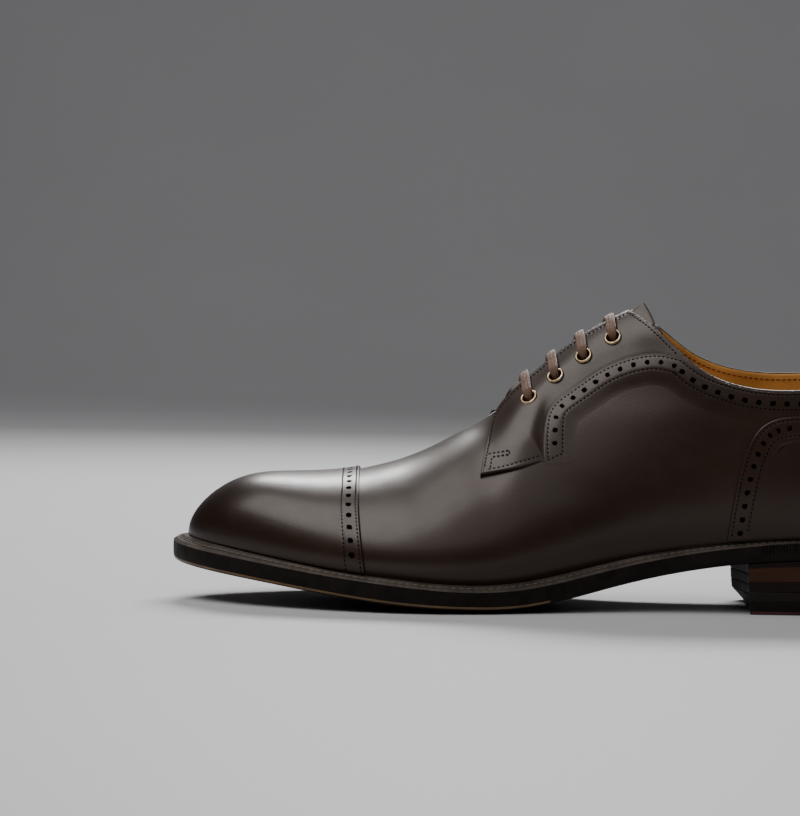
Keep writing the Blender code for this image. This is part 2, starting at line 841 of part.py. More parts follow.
def eyelet_frame(side, number):
    """Gives an eyelet's centre on the last's surface and the direction that it faces."""
    rows = np.arange(len(EYELETS["station"]))
    lap = lap_at(np.interp(number, rows, EYELETS["station"]))
    height = np.interp(number, rows, EYELETS["height"])
    share = rise_at_height(LATERAL, lap, height) / rim_rise(LATERAL, lap)
    rise = share * rim_rise(side, lap)
    return Vector(last_point(side, lap, rise)), Vector(last_normal(side, lap, rise)), lap, rise


def make_eyelet_holes(side, cutters):
    """Makes one cutter with a round bar through each eyelet's place on a side."""
    bars = bmesh.new()
    for number in range(len(EYELETS["station"])):
        centre, facing, _, _ = eyelet_frame(side, number)
        stance = Matrix.Translation(centre * MM) @ facing.to_track_quat("Z", "Y").to_matrix().to_4x4()
        bmesh.ops.create_cone(
            bars,
            cap_ends=True,
            segments=TURN_STEPS,
            radius1=EYELET_HOLE * MM,
            radius2=EYELET_HOLE * MM,
            depth=HOLE_DEPTH * MM,
            matrix=stance,
        )
    mesh = bpy.data.meshes.new("eyelet_holes")
    bars.to_mesh(mesh)
    bars.free()
    return as_cutter(add_object(f"eyelet_holes_{side}", mesh, cutters, material("calf")))


def make_eyelets(side, side_name, home):
    """Turns the four eyelets of one side."""
    seat = FACING_GAP + FACING_LEATHER + GAP
    profile = (
        (EYELET_BORE, seat + EYELET_LIP),
        (EYELET_BORE + EYELET_CROWN, seat + EYELET_CROWN),
        (EYELET_FLANGE - EYELET_CROWN, seat + EYELET_CROWN),
        (EYELET_FLANGE, seat),
        (EYELET_BARREL, seat),
        (EYELET_BARREL, -WALL - EYELET_LIP),
        (EYELET_BORE, -WALL - EYELET_LIP),
    )
    for number in range(len(EYELETS["station"])):
        centre, facing, _, _ = eyelet_frame(side, number)
        outline = bmesh.new()
        corners = [outline.verts.new((radius * MM, 0.0, height * MM)) for radius, height in profile]
        for start, end in zip(corners, corners[1:] + corners[:1]):
            outline.edges.new((start, end))
        mesh = bpy.data.meshes.new("eyelet")
        outline.to_mesh(mesh)
        outline.free()
        eyelet = add_object(f"eyelet_{side_name}_{number + 1}", mesh, home, material("brass", 0.35, 1.0))
        turn = eyelet.modifiers.new("turned", "SCREW")
        turn.steps = TURN_STEPS
        turn.render_steps = TURN_STEPS
        turn.use_merge_vertices = True
        turn.merge_threshold = 0.00001
        turn.use_smooth_shade = True
        eyelet.matrix_world = (
            Matrix.Translation(centre * MM) @ facing.to_track_quat("Z", "Y").to_matrix().to_4x4()
        )


def make_tongue(home):
    depth = along_last(reversed_rows(TONGUE), "depth")
    lift = along_last(reversed_rows(TONGUE), "lift")
    half = along_last(reversed_rows(TONGUE), "half_width")
    laps = lap_at(np.linspace(TONGUE["station"][0], TONGUE["station"][-1], TONGUE_ROWS + 1))

    def place(column, row):
        lap = spread(row, laps)
        offset = (2 * column - 1) * half(lap)
        outer = offset >= 0
        lap = lap_at(station_at(lap) - TONGUE_SLANT * row**2 * np.abs(offset))

        def shape(side, at):
            rise = rise_beside_ridge(side, at, np.abs(offset))
            return off_last(side, at, rise, -depth(at))

        points = both_sides(outer, lap, shape)
        points[:, 2] += lift(lap) * np.clip(1 - (offset / TONGUE_FOLD) ** 2, 0.0, 1.0) ** 2
        return points

    tongue = woven("tongue", TONGUE_COLUMNS, TONGUE_ROWS, place, home, material("calf"), closed=False)
    thicken(tongue, TONGUE_LEATHER, outward=False)
    return tongue


def reversed_rows(rows):
    """Gives a table's rows the other way round."""
    return {name: values[::-1] for name, values in rows.items()}


def sole_levels(side, lap, share, level):
    """Gives heights in the sole at a share of the way from its middle line to its edge."""
    mean_top = (welt_top(LATERAL, lap) + welt_top(MEDIAL, lap)) / 2
    top = mean_top + (welt_top(side, lap) - mean_top) * share
    if level == "top":
        return top
    tread = top - SOLE_DEPTH(lap) - SOLE_CROWN(lap) * (1 - share**FLOOR_ROUNDING)
    return np.maximum(tread, 0.0)


def sole_point(side, lap, share, outward):
    """Gives the plan place at a share of the way from the sole's middle line to its edge."""
    outer = np.stack(bottom_edge(LATERAL, lap, outward[LATERAL]), axis=-1)
    inner = np.stack(bottom_edge(MEDIAL, lap, outward[MEDIAL]), axis=-1)
    middle = (outer + inner) / 2
    edge = outer if side == LATERAL else inner
    return middle + (edge - middle) * np.asarray(share)[..., None]


def margins(lap, inset):
    return {side: MARGIN[side](lap) - inset for side in (LATERAL, MEDIAL)}


def layer(name, profile, home, look):
    """Makes a sole layer from a cross profile that is carried round the whole outline.

    Each profile row holds the share of the way out, the edge's inset, the level it follows and the
    distance above that level.
    """
    def place(column, row):
        outer, lap = round_trip(column)
        at = np.rint(row * (len(profile) - 1)).astype(int)

        def shape(side, laps):
            points = np.zeros((len(laps), 3))
            for index, (share, inset, level, above) in enumerate(profile):
                here = at == index
                shared = np.full(here.sum(), share)
                outward = inset(laps[here])
                points[here, :2] = sole_point(side, laps[here], shared, outward)
                points[here, 2] = sole_levels(side, laps[here], shared, level) + above
            return points

        return both_sides(outer, lap, shape)

    return woven(name, RING_STEPS, len(profile) - 1, place, home, look)


def beyond(inset):
    """Gives a rule for an outline that stands inside the sole's edge by an inset."""
    return lambda lap: margins(lap, inset)


def within(inset):
    """Gives a rule for an outline that stands inside the last's bottom by an inset."""
    return lambda lap: {side: np.full(np.shape(lap), -inset) for side in (LATERAL, MEDIAL)}


def make_outsole(home):
    under_welt = -WELT_THICKNESS - GAP
    profile = [
        (0.0, beyond(EDGE_ROUND), "top", under_welt),
        (0.6, beyond(EDGE_ROUND), "top", under_welt),
        (1.0, beyond(EDGE_ROUND), "top", under_welt),
        (1.0, beyond(0.0), "top", under_welt - EDGE_ROUND),
        (1.0, beyond(0.2), "tread", EDGE_BEVEL),
        (1.0, beyond(TREAD_INSET), "tread", 0.0),
        (0.82, beyond(TREAD_INSET), "tread", 0.0),
        (0.62, beyond(TREAD_INSET), "tread", 0.0),
        (0.42, beyond(TREAD_INSET), "tread", 0.0),
        (0.0, beyond(TREAD_INSET), "tread", 0.0),
    ]
    return layer("outsole", profile, home, material("sole_edge"))


def make_welt(home):
    profile = [
        (1.0, within(WELT_LEDGE), "top", 0.0),
        (1.0, within(0.0), "top", 0.0),
        (1.0, beyond(0.0), "top", -WELT_SLOPE),
        (1.0, beyond(0.0), "top", -WELT_THICKNESS),
        (1.0, within(WELT_LEDGE), "top", -WELT_THICKNESS),
        (1.0, within(WELT_LEDGE), "top", 0.0),
    ]
    return layer("welt", profile, home, material("welt", 0.55))


def make_insole(home):
    inset = within(WELT_LEDGE + GAP)
    profile = [
        (0.0, inset, "top", INSOLE_RISE),
        (1.0, inset, "top", INSOLE_RISE),
        (1.0, inset, "top", -WELT_THICKNESS + 2 * GAP),
        (0.0, inset, "top", -WELT_THICKNESS + 2 * GAP),
    ]
    return layer("insole", profile, home, material("lining", 0.6))


def heel_ring(height):
    """Gives the heel's plan outline at a height: inner side, back, outer side and breast."""
    drop = HEEL_HEIGHT - height
    inset = HEEL_INSET + HEEL_TAPER * drop / HEEL_HEIGHT
    breast = HEEL_BREAST - BREAST_LEAN * drop / HEEL_HEIGHT
    cut = CORNER_SLANT * max(CORNER_HEIGHT - height, 0.0)
    inner_laps = np.linspace(float(lap_at(breast - cut)), 0.0, HEEL_STEPS)
    outer_laps = np.linspace(0.0, float(lap_at(breast)), HEEL_STEPS)[1:]
    inner = np.stack(bottom_edge(MEDIAL, inner_laps, MARGIN[MEDIAL](inner_laps) - inset), axis=-1)
    outer = np.stack(bottom_edge(LATERAL, outer_laps, MARGIN[LATERAL](outer_laps) - inset), axis=-1)
    across = np.linspace(0.0, 1.0, BREAST_STEPS)[1:-1]
    corner = np.clip((across - 1 + CORNER_SHARE) / CORNER_SHARE, 0.0, 1.0)
    station = outer[-1, 0] - BREAST_HOLLOW * np.sin(np.pi * across) - cut * corner
    y = outer[-1, 1] + (inner[0, 1] - outer[-1, 1]) * across
    return np.concatenate([inner, outer, np.stack([station, y], axis=-1), inner[:1]])


def heel_seat(plan):
    """Gives the height of the outsole's underside above the heel."""
    return sole_levels(LATERAL, lap_at(plan[:, 0]), np.ones(len(plan)), "tread")


def make_lift(name, low, high, home, look):
    """Makes one lift of the heel. The one under the heel seat follows the outsole's underside."""
    rings = [(0.0, low), (1.0, low), (1.0, high), (0.5, high), (0.0, high)]
    middle = np.array([HEEL_BREAST / 2, HEEL_Y])

    def place(column, row):
        at = np.rint(row * (len(rings) - 1)).astype(int)
        points = np.zeros((len(column), 3))
        for index, (share, height) in enumerate(rings):
            here = at == index
            ring = heel_ring(height)
            spot = np.rint(column[here] * (len(ring) - 1)).astype(int)
            plan = middle + (ring[spot] - middle) * share
            points[here, :2] = plan
            points[here, 2] = heel_seat(plan) - GAP if height == HEEL_HEIGHT else height
        return points

    return woven(name, len(heel_ring(low)) - 1, len(rings) - 1, place, home, look)


def make_heel(home):
    """Stacks the top piece and the lifts under the heel seat."""
    for name, low, high in HEEL_STACK:
        on_floor = low == 0.0
        look = material("top_piece", 0.5) if on_floor else material("heel")
        make_lift(name, low if on_floor else low + GAP, high, home, look)


def eyelet_spot(side, row, shift, lift):
    """Gives a point beside an eyelet, shifted to the throat and lifted off the wall, and its normal."""
    _, _, lap, rise = eyelet_frame(side, row)
    _, upward = last_slopes(side, lap, rise)
    moved = rise + shift / np.linalg.norm(upward)
    return off_last(side, lap, moved, np.array(float(lift))), last_normal(side, lap, moved)


def throat_spot(side, row, lift):
    """Gives a point over the facing's edge beside an eyelet, and its normal."""
    _, _, lap, _ = eyelet_frame(side, row)
    edge = rise_beside_ridge(side, lap, FACING_HALF)
    return off_last(side, lap, edge, np.array(lift)), last_normal(side, lap, edge)


def lace_stops():
    """Lists the lace's way as points with the surface's normal, and how far the lace is spread at each.

    The bars run straight across, and the climbs hide under the facings, with both ends at the top.
    """
    stops = []
    climb_rows = list(zip(LACE_CLIMB["shift"], LACE_CLIMB["lift"], LACE_CLIMB["spread"]))

    def pass_eyelet(side, row, rows):
        for shift, lift, flatness in rows:
            stops.append((*eyelet_spot(side, row, shift, lift), flatness))

    def bar(start_side, row):
        pass_eyelet(start_side, row, climb_rows)
        for side in (start_side, -start_side):
            stops.append((*throat_spot(side, row, LACE_OVER), 1.0))
        pass_eyelet(-start_side, row, climb_rows[::-1])

    def hide(side, run):
        for row, shift in zip(run["eyelet"], run["shift"]):
            stops.append((*eyelet_spot(side, row, shift, LACE_UNDER), 0.0))

    hide(LATERAL, HIDDEN_END)
    bar(LATERAL, 2)
    hide(MEDIAL, HIDDEN_DOWN)
    bar(MEDIAL, 0)
    hide(LATERAL, HIDDEN_STEP)
    bar(LATERAL, 1)
    hide(MEDIAL, HIDDEN_UP)
    bar(MEDIAL, 3)
    return stops


def make_lace(home):
    """Sweeps one flat lace along its way, narrowed where it goes through the eyelets and climbs."""
    path, normals, share = (np.array(column) for column in zip(*lace_stops()))
    run = np.gradient(path, axis=0)
    run /= np.linalg.norm(run, axis=-1, keepdims=True)
    flat = carried_frame(run, normals, share)
    thin = np.cross(run, flat)
    half_width = LACE_NARROW / 2 + (LACE_WIDTH - LACE_NARROW) / 2 * share
    half_thick = LACE_NARROW / 2 + (LACE_THICKNESS - LACE_NARROW) / 2 * share

    def place(column, row):
        at = np.rint(column * (len(path) + 1)).astype(int) - 1
        tip = (at < 0) | (at >= len(path))
        at = np.clip(at, 0, len(path) - 1)
        angle = row * 2 * np.pi
        wide = np.where(tip, 0.0, np.cos(angle) * half_width[at])
        thick = np.where(tip, 0.0, np.sin(angle) * half_thick[at])
        return path[at] + flat[at] * wide[:, None] + thin[at] * thick[:, None]

    return woven("lace", len(path) + 1, LACE_SIDES, place, home, material("lace", 0.6))


def carried_frame(run, normals, share):
    """Carries a sideways direction along a path, and lays it on the surface where the lace is spread."""
    sideways = np.zeros(run.shape)
    guide = np.array([1.0, 0.0, -1.0])
    for index, forward in enumerate(run):
        if share[index] > 0:
            across = np.cross(forward, normals[index])
            guide = across * np.sign(across @ guide)
        guide = guide - forward * (guide @ forward)
        guide = guide / np.linalg.norm(guide)
        sideways[index] = guide
    return sideways


def stand_on_origin(home, cutters):
    """Hangs pieces and cutters on an empty that puts the middle of the shoe's underside at the origin."""
    bpy.context.view_layer.update()
    graph = bpy.context.evaluated_depsgraph_get()
    corners = []
    for piece in home.objects:
        shape = piece.evaluated_get(graph)
        corners.extend(shape.matrix_world @ Vector(corner) for corner in shape.bound_box)
    low = Vector([min(corner[axis] for corner in corners) for axis in range(3)])
    high = Vector([max(corner[axis] for corner in corners) for axis in range(3)])
    stand = bpy.data.objects.new("stand", None)
    stand.location = (-(low.x + high.x) / 2, -(low.y + high.y) / 2, -low.z)
    for piece in [*home.objects, *cutters.objects]:
        piece.parent = stand
    home.objects.link(stand)


def main():
    for leftover in list(bpy.data.objects):
        bpy.data.objects.remove(leftover, do_unlink=True)
    home = collection(OBJECT_NAME)
    cutters = collection("cutters")
    make_outsole(home)
    make_welt(home)
    make_insole(home)
    make_heel(home)
    make_upper(home, cutters)
    make_toe_cap(home)
    make_counter(home)
    make_facing(LATERAL, "facing_lateral", home, cutters)
    make_facing(MEDIAL, "facing_medial", home, cutters)
    make_tongue(home)
    make_eyelets(LATERAL, "lateral", home)
    make_eyelets(MEDIAL, "medial", home)
    make_lace(home)
    stand_on_origin(home, cutters)


main()
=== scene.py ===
# %% [markdown]
# # A left semi brogue
# This lesson dresses a shoe whose solids are already made. The real shoe is a derby of dark brown
# polished calf with a punched toe cap, a punched band and a punched counter. Everything is measured
# in millimetres along the last, the wooden form that a shoe is built on, and only turned into metres
# when a mesh is made. A station counts from the back of the sole towards the toe.

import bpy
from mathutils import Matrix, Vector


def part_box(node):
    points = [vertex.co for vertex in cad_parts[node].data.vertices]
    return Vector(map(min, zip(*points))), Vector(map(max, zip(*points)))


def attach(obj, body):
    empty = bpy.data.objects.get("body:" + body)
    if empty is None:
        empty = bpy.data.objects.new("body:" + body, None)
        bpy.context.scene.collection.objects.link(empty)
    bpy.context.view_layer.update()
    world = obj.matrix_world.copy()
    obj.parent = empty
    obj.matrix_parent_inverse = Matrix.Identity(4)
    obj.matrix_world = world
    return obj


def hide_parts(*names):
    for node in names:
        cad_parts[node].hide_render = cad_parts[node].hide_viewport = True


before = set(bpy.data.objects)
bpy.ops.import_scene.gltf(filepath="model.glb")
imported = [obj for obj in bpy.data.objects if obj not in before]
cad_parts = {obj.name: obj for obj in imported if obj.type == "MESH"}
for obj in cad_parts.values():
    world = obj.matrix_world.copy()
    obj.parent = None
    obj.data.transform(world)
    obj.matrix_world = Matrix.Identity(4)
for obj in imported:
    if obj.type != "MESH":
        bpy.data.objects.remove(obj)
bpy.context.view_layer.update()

import math

import bmesh
import bpy
import numpy as np
from mathutils import Matrix, Vector

MM = 0.001
LATERAL = 1
MEDIAL = -1
print("solids:", ", ".join(sorted(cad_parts)))

# %% [markdown]
# ## Short tables and smooth curves
# A last has no formula, so its sizes are kept in short tables with a row for each station. A natural
# cubic spline joins the rows: it passes through each one and bends as little as it can between them,
# the way a thin wooden batten does. Splines keep the surface free of kinks that gloss would show.


# %% Tables and curves
def table(columns, *rows):
    """Gives a short table as arrays, one for each named column."""
    return dict(zip(columns.split(), np.array(rows, dtype=float).T))


def smooth_curve(knots, values):
    """Gives a natural cubic spline through a few rows, as a function."""
    knots = np.asarray(knots, dtype=float)
    values = np.asarray(values, dtype=float)
    count = len(knots)
    gaps = np.diff(knots)
    slopes = np.diff(values) / gaps
    system = np.eye(count)
    known = np.zeros(count)
    for row in range(1, count - 1):
        system[row, row - 1 : row + 2] = gaps[row - 1], 2 * (gaps[row - 1] + gaps[row]), gaps[row]
        known[row] = 6 * (slopes[row] - slopes[row - 1])
    bend = np.linalg.solve(system, known)

    def value_at(place):
        place = np.clip(np.asarray(place, dtype=float), knots[0], knots[-1])
        left = np.clip(np.searchsorted(knots, place) - 1, 0, count - 2)
        right = left + 1
        width = gaps[left]
        before = place - knots[left]
        after = knots[right] - place
        cubic = (bend[left] * after**3 + bend[right] * before**3) / (6 * width)
        near = (values[left] / width - bend[left] * width / 6) * after
        far = (values[right] / width - bend[right] * width / 6) * before
        return cubic + near + far

    return value_at


def path_through(rows, count):
    """Gives evenly spaced stations and heights on a smooth line through a table's rows."""
    steps = np.hypot(np.diff(rows["station"]), np.diff(rows["height"]))
    way = np.concatenate([[0.0], np.cumsum(steps)])
    places = np.linspace(0.0, way[-1], count)
    return smooth_curve(way, rows["station"])(places), smooth_curve(way, rows["height"])(places)


LAST_BOTTOM = table(
    "station lateral medial",
    (10, 21.0, 21.0),
    (30, 29.6, 29.2),
    (70, 31.4, 31.0),
    (110, 29.6, 28.5),
    (145, 35.2, 30.6),
    (180, 45.6, 40.0),
    (205, 48.4, 46.2),
    (228, 45.0, 46.6),
    (252, 36.8, 40.4),
    (275, 24.8, 29.6),
    (289, 12.4, 17.4),
)
WELT_MARGIN = table(
    "station lateral medial",
    (2.5, 2.5, 2.5),
    (60, 2.6, 2.5),
    (110, 3.6, 2.0),
    (150, 4.6, 2.8),
    (200, 5.0, 4.8),
    (260, 5.6, 5.4),
    (295.8, 7.2, 7.2),
)
SOLE_EDGE = table(
    "station welt_top depth crown arch",
    (2.5, 30.7, 8.0, 0.0, 0.0),
    (50, 30.0, 8.0, 0.0, 0.0),
    (75, 28.3, 8.2, 0.4, 0.6),
    (100, 24.9, 8.6, 1.5, 2.2),
    (132, 18.3, 9.2, 3.0, 2.4),
    (164, 11.6, 9.3, 2.8, 0.8),
    (184, 10.6, 8.9, 2.7, 0.0),
    (208, 12.2, 9.2, 3.9, 0.0),
    (234, 15.0, 9.0, 2.8, 0.0),
    (266, 20.0, 9.4, 2.0, 0.0),
    (295.8, 25.8, 9.8, 0.0, 0.0),
)
RIDGE = table(
    "station height y",
    (2.5, 134.0, 0.0),
    (60, 132.0, -0.5),
    (92, 128.0, -2.5),
    (112, 122.6, -4.0),
    (124, 117.6, -4.5),
    (140, 108.2, -5.0),
    (155, 96.0, -5.0),
    (166, 86.0, -5.0),
    (175, 76.4, -5.0),
    (186, 69.6, -5.0),
    (200, 62.2, -5.0),
    (215, 56.4, -5.0),
    (232, 52.4, -5.0),
    (252, 50.8, -4.5),
    (266, 50.1, -4.0),
    (276, 47.8, -3.7),
    (284, 43.6, -3.4),
    (291, 37.4, -3.2),
    (295.8, 26.2, -3.0),
)
SECTION = table(
    "station round_lateral round_medial swell_lateral swell_medial swell_height",
    (2.5, 2.6, 2.6, 2.6, 2.6, 22),
    (50, 2.8, 2.8, 2.8, 2.8, 22),
    (90, 2.5, 2.5, 3.4, 3.2, 22),
    (125, 1.95, 2.05, 4.6, 5.4, 20),
    (160, 1.85, 2.0, 4.2, 4.4, 16),
    (185, 1.9, 2.15, 3.6, 3.2, 14),
    (210, 2.0, 2.3, 2.8, 2.4, 12),
    (240, 2.15, 2.4, 1.8, 1.8, 10),
    (270, 2.3, 2.4, 1.0, 1.0, 8),
    (295.8, 2.2, 2.2, 0.0, 0.0, 8),
)
COLLAR = table(
    "station lateral medial",
    (0, 99.5, 99.5),
    (10, 98.6, 98.8),
    (25, 94.6, 97.2),
    (40, 91.0, 95.7),
    (60, 88.9, 95.0),
    (78, 90.6, 97.4),
    (94, 97.6, 104.2),
    (110, 111.8, 115.6),
    (120, 118.4, 119.6),
    (130, 122.0, 123.0),
)
print("tables of the last:", len(RIDGE["station"]), "rows along the ridge")

# %% [markdown]
# ## The last as a surface
# Each half section of the last is a quarter of a superellipse from its bottom edge (rise 0) to its
# ridge (rise 1), with a soft swell above the sole. A lap counts along the last, packed closer at heel
# and toe where the form turns fast. One function gives every leather piece its place, so a cap, a
# facing or a stitch lies on the shoe because it asks the same surface with a different lift.

# %% The surface of the last
SHOE_LENGTH = 303.0
HEEL_MARGIN = 2.5
TOE_MARGIN = 7.2
TOE_Y = -3.0
HEEL_Y = 0.0
FEATHER_GAP = 0.4
FAN_STATION = 100.0
FAN_REACH = 46.0
TOE_STATION = SHOE_LENGTH - TOE_MARGIN
BOTTOM_LENGTH = TOE_STATION - HEEL_MARGIN


def lap_at(station):
    """Turns a station into a lap: 0 at the back of the last, 1 at its toe."""
    share = np.clip((np.asarray(station, dtype=float) - HEEL_MARGIN) / BOTTOM_LENGTH, 0.0, 1.0)
    return np.arccos(1 - 2 * share) / math.pi


def station_at(lap):
    return HEEL_MARGIN + BOTTOM_LENGTH * (1 - np.cos(np.pi * np.asarray(lap))) / 2


def along_last(rows, column):
    return smooth_curve(lap_at(rows["station"]), rows[column])


def closed_half(column):
    """Gives one half width of the last's bottom, closed at heel and toe."""
    sign = LATERAL if column == "lateral" else MEDIAL
    laps = np.concatenate([[0.0], lap_at(LAST_BOTTOM["station"]), [1.0]])
    widths = np.concatenate([[sign * HEEL_Y], LAST_BOTTOM[column], [sign * TOE_Y]])
    return smooth_curve(laps, widths)


HALF_WIDTH = {LATERAL: closed_half("lateral"), MEDIAL: closed_half("medial")}
MARGIN = {LATERAL: along_last(WELT_MARGIN, "lateral"), MEDIAL: along_last(WELT_MARGIN, "medial")}
WELT_TOP = along_last(SOLE_EDGE, "welt_top")
SOLE_DEPTH = along_last(SOLE_EDGE, "depth")
SOLE_CROWN = along_last(SOLE_EDGE, "crown")
SOLE_ARCH = along_last(SOLE_EDGE, "arch")
RIDGE_HEIGHT = along_last(RIDGE, "height")
RIDGE_Y = along_last(RIDGE, "y")
ROUNDNESS = {LATERAL: along_last(SECTION, "round_lateral"), MEDIAL: along_last(SECTION, "round_medial")}
SWELL = {LATERAL: along_last(SECTION, "swell_lateral"), MEDIAL: along_last(SECTION, "swell_medial")}
SWELL_HEIGHT = along_last(SECTION, "swell_height")
COLLAR_HEIGHT = {
    LATERAL: smooth_curve(COLLAR["station"], COLLAR["lateral"]),
    MEDIAL: smooth_curve(COLLAR["station"], COLLAR["medial"]),
}

print("bottom of the last, mm:", round(BOTTOM_LENGTH, 1))

# %% [markdown]
# ### Points on the last
# A point is found from its side, its lap and its rise. Two short steps along the surface give the outward
# direction there, so any piece can be laid at a lift above or below it.


# %% Points and directions
def bottom_edge(side, lap, outward):
    """Gives the plan line that runs a distance outside the last's bottom edge."""
    lap = np.asarray(lap, dtype=float)
    step = 1e-4
    forward = station_at(lap + step) - station_at(lap - step)
    sideways = HALF_WIDTH[side](lap + step) - HALF_WIDTH[side](lap - step)
    length = np.hypot(forward, sideways)
    station = station_at(lap) - outward * sideways / length
    return station, side * (HALF_WIDTH[side](lap) + outward * forward / length)


def welt_top(side, lap):
    return WELT_TOP(lap) + (SOLE_ARCH(lap) if side == MEDIAL else 0.0)


def last_point(side, lap, rise):
    """Gives a point on the last: rise 0 is its bottom edge and rise 1 its ridge."""
    lap, rise = np.broadcast_arrays(np.asarray(lap, dtype=float), np.asarray(rise, dtype=float))
    station = station_at(lap)
    edge_y = side * HALF_WIDTH[side](lap)
    edge_z = welt_top(side, lap) + FEATHER_GAP
    fan = np.clip((FAN_STATION - station) / (FAN_STATION - HEEL_MARGIN), 0.0, 1.0)
    ridge_station = station + FAN_REACH * fan**2
    ridge_y = RIDGE_Y(lap)
    height = np.maximum(RIDGE_HEIGHT(lap) - edge_z, 0.0)
    turn = rise * math.pi / 2
    power = ROUNDNESS[side](lap)
    reach = (np.abs(np.cos(turn)) ** power + np.abs(np.sin(turn)) ** power) ** (-1 / power)
    up = height * reach * np.sin(turn)
    away = np.stack([station - ridge_station, edge_y - ridge_y], axis=-1)
    span = np.maximum(np.linalg.norm(away, axis=-1), 1e-6)
    lean = up / SWELL_HEIGHT(lap)
    swell = np.maximum(SWELL[side](lap), 0.0) * lean * np.exp(1 - lean) * np.cos(turn)
    share = reach * np.cos(turn) + swell / span * np.minimum(1.0, span / 4.0)
    return np.stack(
        [ridge_station + away[..., 0] * share, ridge_y + away[..., 1] * share, edge_z + up], axis=-1
    )


def last_slopes(side, lap, rise):
    """Gives how the last's surface runs along and up at a point."""
    lap = np.clip(np.asarray(lap, dtype=float), 0.0005, 0.9985)
    step = 4e-4
    along = (last_point(side, lap + step, rise) - last_point(side, lap - step, rise)) / (2 * step)
    upward = (last_point(side, lap, rise + step) - last_point(side, lap, rise - step)) / (2 * step)
    return along, upward


def last_normal(side, lap, rise):
    """Gives the outward direction, shared by both sides along the ridge and at the toe's tip."""
    lap, rise = np.broadcast_arrays(np.asarray(lap, dtype=float), np.asarray(rise, dtype=float))

    def one_side(which):
        along, upward = last_slopes(which, lap, rise)
        normal = np.cross(upward, along) * which
        return normal / np.linalg.norm(normal, axis=-1, keepdims=True)

    normal = one_side(side)
    normal = np.where(rise[..., None] > 0.9995, normal + one_side(-side), normal)
    normal = np.where(lap[..., None] > 0.9995, np.array([1.0, 0.0, 0.0]), normal)
    return normal / np.linalg.norm(normal, axis=-1, keepdims=True)


def off_last(side, lap, rise, lift):
    """Gives a point at a lift above the last's surface."""
    return last_point(side, lap, rise) + last_normal(side, lap, rise) * np.asarray(lift)[..., None]


print("top of the toe, mm:", last_point(LATERAL, lap_at(252.0), 1.0).round(1))

# %% [markdown]
# ### Lines on the last
# An edge is often known by its height, or by its distance from the ridge. Halving an interval over and
# over finds the rise that fits, whatever form the section has. The upper's open edge follows the ridge
# on the vamp, then the throat and then the collar.


# %% Heights, throat and collar
def solve_rise(wanted, low, high):
    """Finds the rise where a function that grows with the rise reaches zero."""
    for _ in range(32):
        middle = (low + high) / 2
        above = wanted(middle) > 0
        high = np.where(above, middle, high)
        low = np.where(above, low, middle)
    return (low + high) / 2


def rise_at_height(side, lap, height):
    lap, height = np.broadcast_arrays(np.asarray(lap, dtype=float), np.asarray(height, dtype=float))
    zero = np.zeros(lap.shape)
    return solve_rise(lambda rise: last_point(side, lap, rise)[..., 2] - height, zero, zero + 1)


def rise_beside_ridge(side, lap, distance):
    """Finds the rise at a distance across from the ridge."""
    lap, distance = np.broadcast_arrays(np.asarray(lap, dtype=float), np.asarray(distance, dtype=float))
    zero = np.zeros(lap.shape)

    def nearness(rise):
        return distance - np.abs(last_point(side, lap, rise)[..., 1] - RIDGE_Y(lap))

    return solve_rise(nearness, zero + 0.4, zero + 1)


THROAT_FRONT = 176.0
THROAT_FULL = 164.0
COLLAR_FRONT = 100.0
THROAT_HALF = 8.0


def throat_half(station):
    """Gives half the throat's width: a pointed front that widens to parallel edges."""
    share = np.clip((THROAT_FRONT - station) / (THROAT_FRONT - THROAT_FULL), 0.0, 1.0)
    return THROAT_HALF * np.sqrt(share * (2 - share))


def collar_rise(side, lap):
    """Gives the rise of the collar's top edge."""
    zero = np.zeros(np.shape(lap))

    def over_collar(rise):
        point = last_point(side, lap, rise)
        return point[..., 2] - COLLAR_HEIGHT[side](point[..., 0])

    return solve_rise(over_collar, zero, zero + 1)


def rim_rise(side, lap):
    """Gives the rise of the upper's open edge: the ridge on the vamp, then throat and collar."""
    lap = np.asarray(lap, dtype=float)
    station = station_at(lap)
    throat = rise_beside_ridge(side, lap, throat_half(station))
    throat = np.where((station >= THROAT_FRONT) | (station <= COLLAR_FRONT), 1.0, throat)
    collar = np.where(station > THROAT_FULL, 1.0, collar_rise(side, lap))
    return np.minimum(throat, collar)


print("rim at the back, mm:", last_point(LATERAL, 0.0, rim_rise(LATERAL, 0.0)).round(1))

# %% [markdown]
# ### The last in the frame
# The frame's origin is the middle of the shoe's footprint. The outsole's box gives that middle back, so
# what is laid on the last falls on the solids.

# %% The last in the frame
edge_laps = np.linspace(0.0, 1.0, 600)
outer_reach = bottom_edge(LATERAL, edge_laps, MARGIN[LATERAL](edge_laps))[1].max()
inner_reach = bottom_edge(MEDIAL, edge_laps, MARGIN[MEDIAL](edge_laps))[1].min()
outsole_low, outsole_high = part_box("outsole")
SHIFT = np.array(
    [
        (outsole_low.x + outsole_high.x) / 2 - SHOE_LENGTH / 2 * MM,
        (outsole_low.y + outsole_high.y) / 2 - (outer_reach + inner_reach) / 2 * MM,
        0.0,
    ]
)
print("shift of the last in the frame, mm:", np.round(SHIFT / MM, 2))

# %% [markdown]
# ## Camera and light
# The shoe is seen from its outer side, toe to the left, from just above the floor and through a long
# lens, so the sole's far edge hardly shows. The camera's place was worked out from the heel, the cap's
# edge and the collar. A panel behind the shoe draws the bright line along cap and vamp, a wide one above
# the toe makes the sheen of the sides, a weak one on the viewer's side opens the shadows, and the last
# only lights the sheet behind. All are large, so the gloss fades softly, as on polished calf.

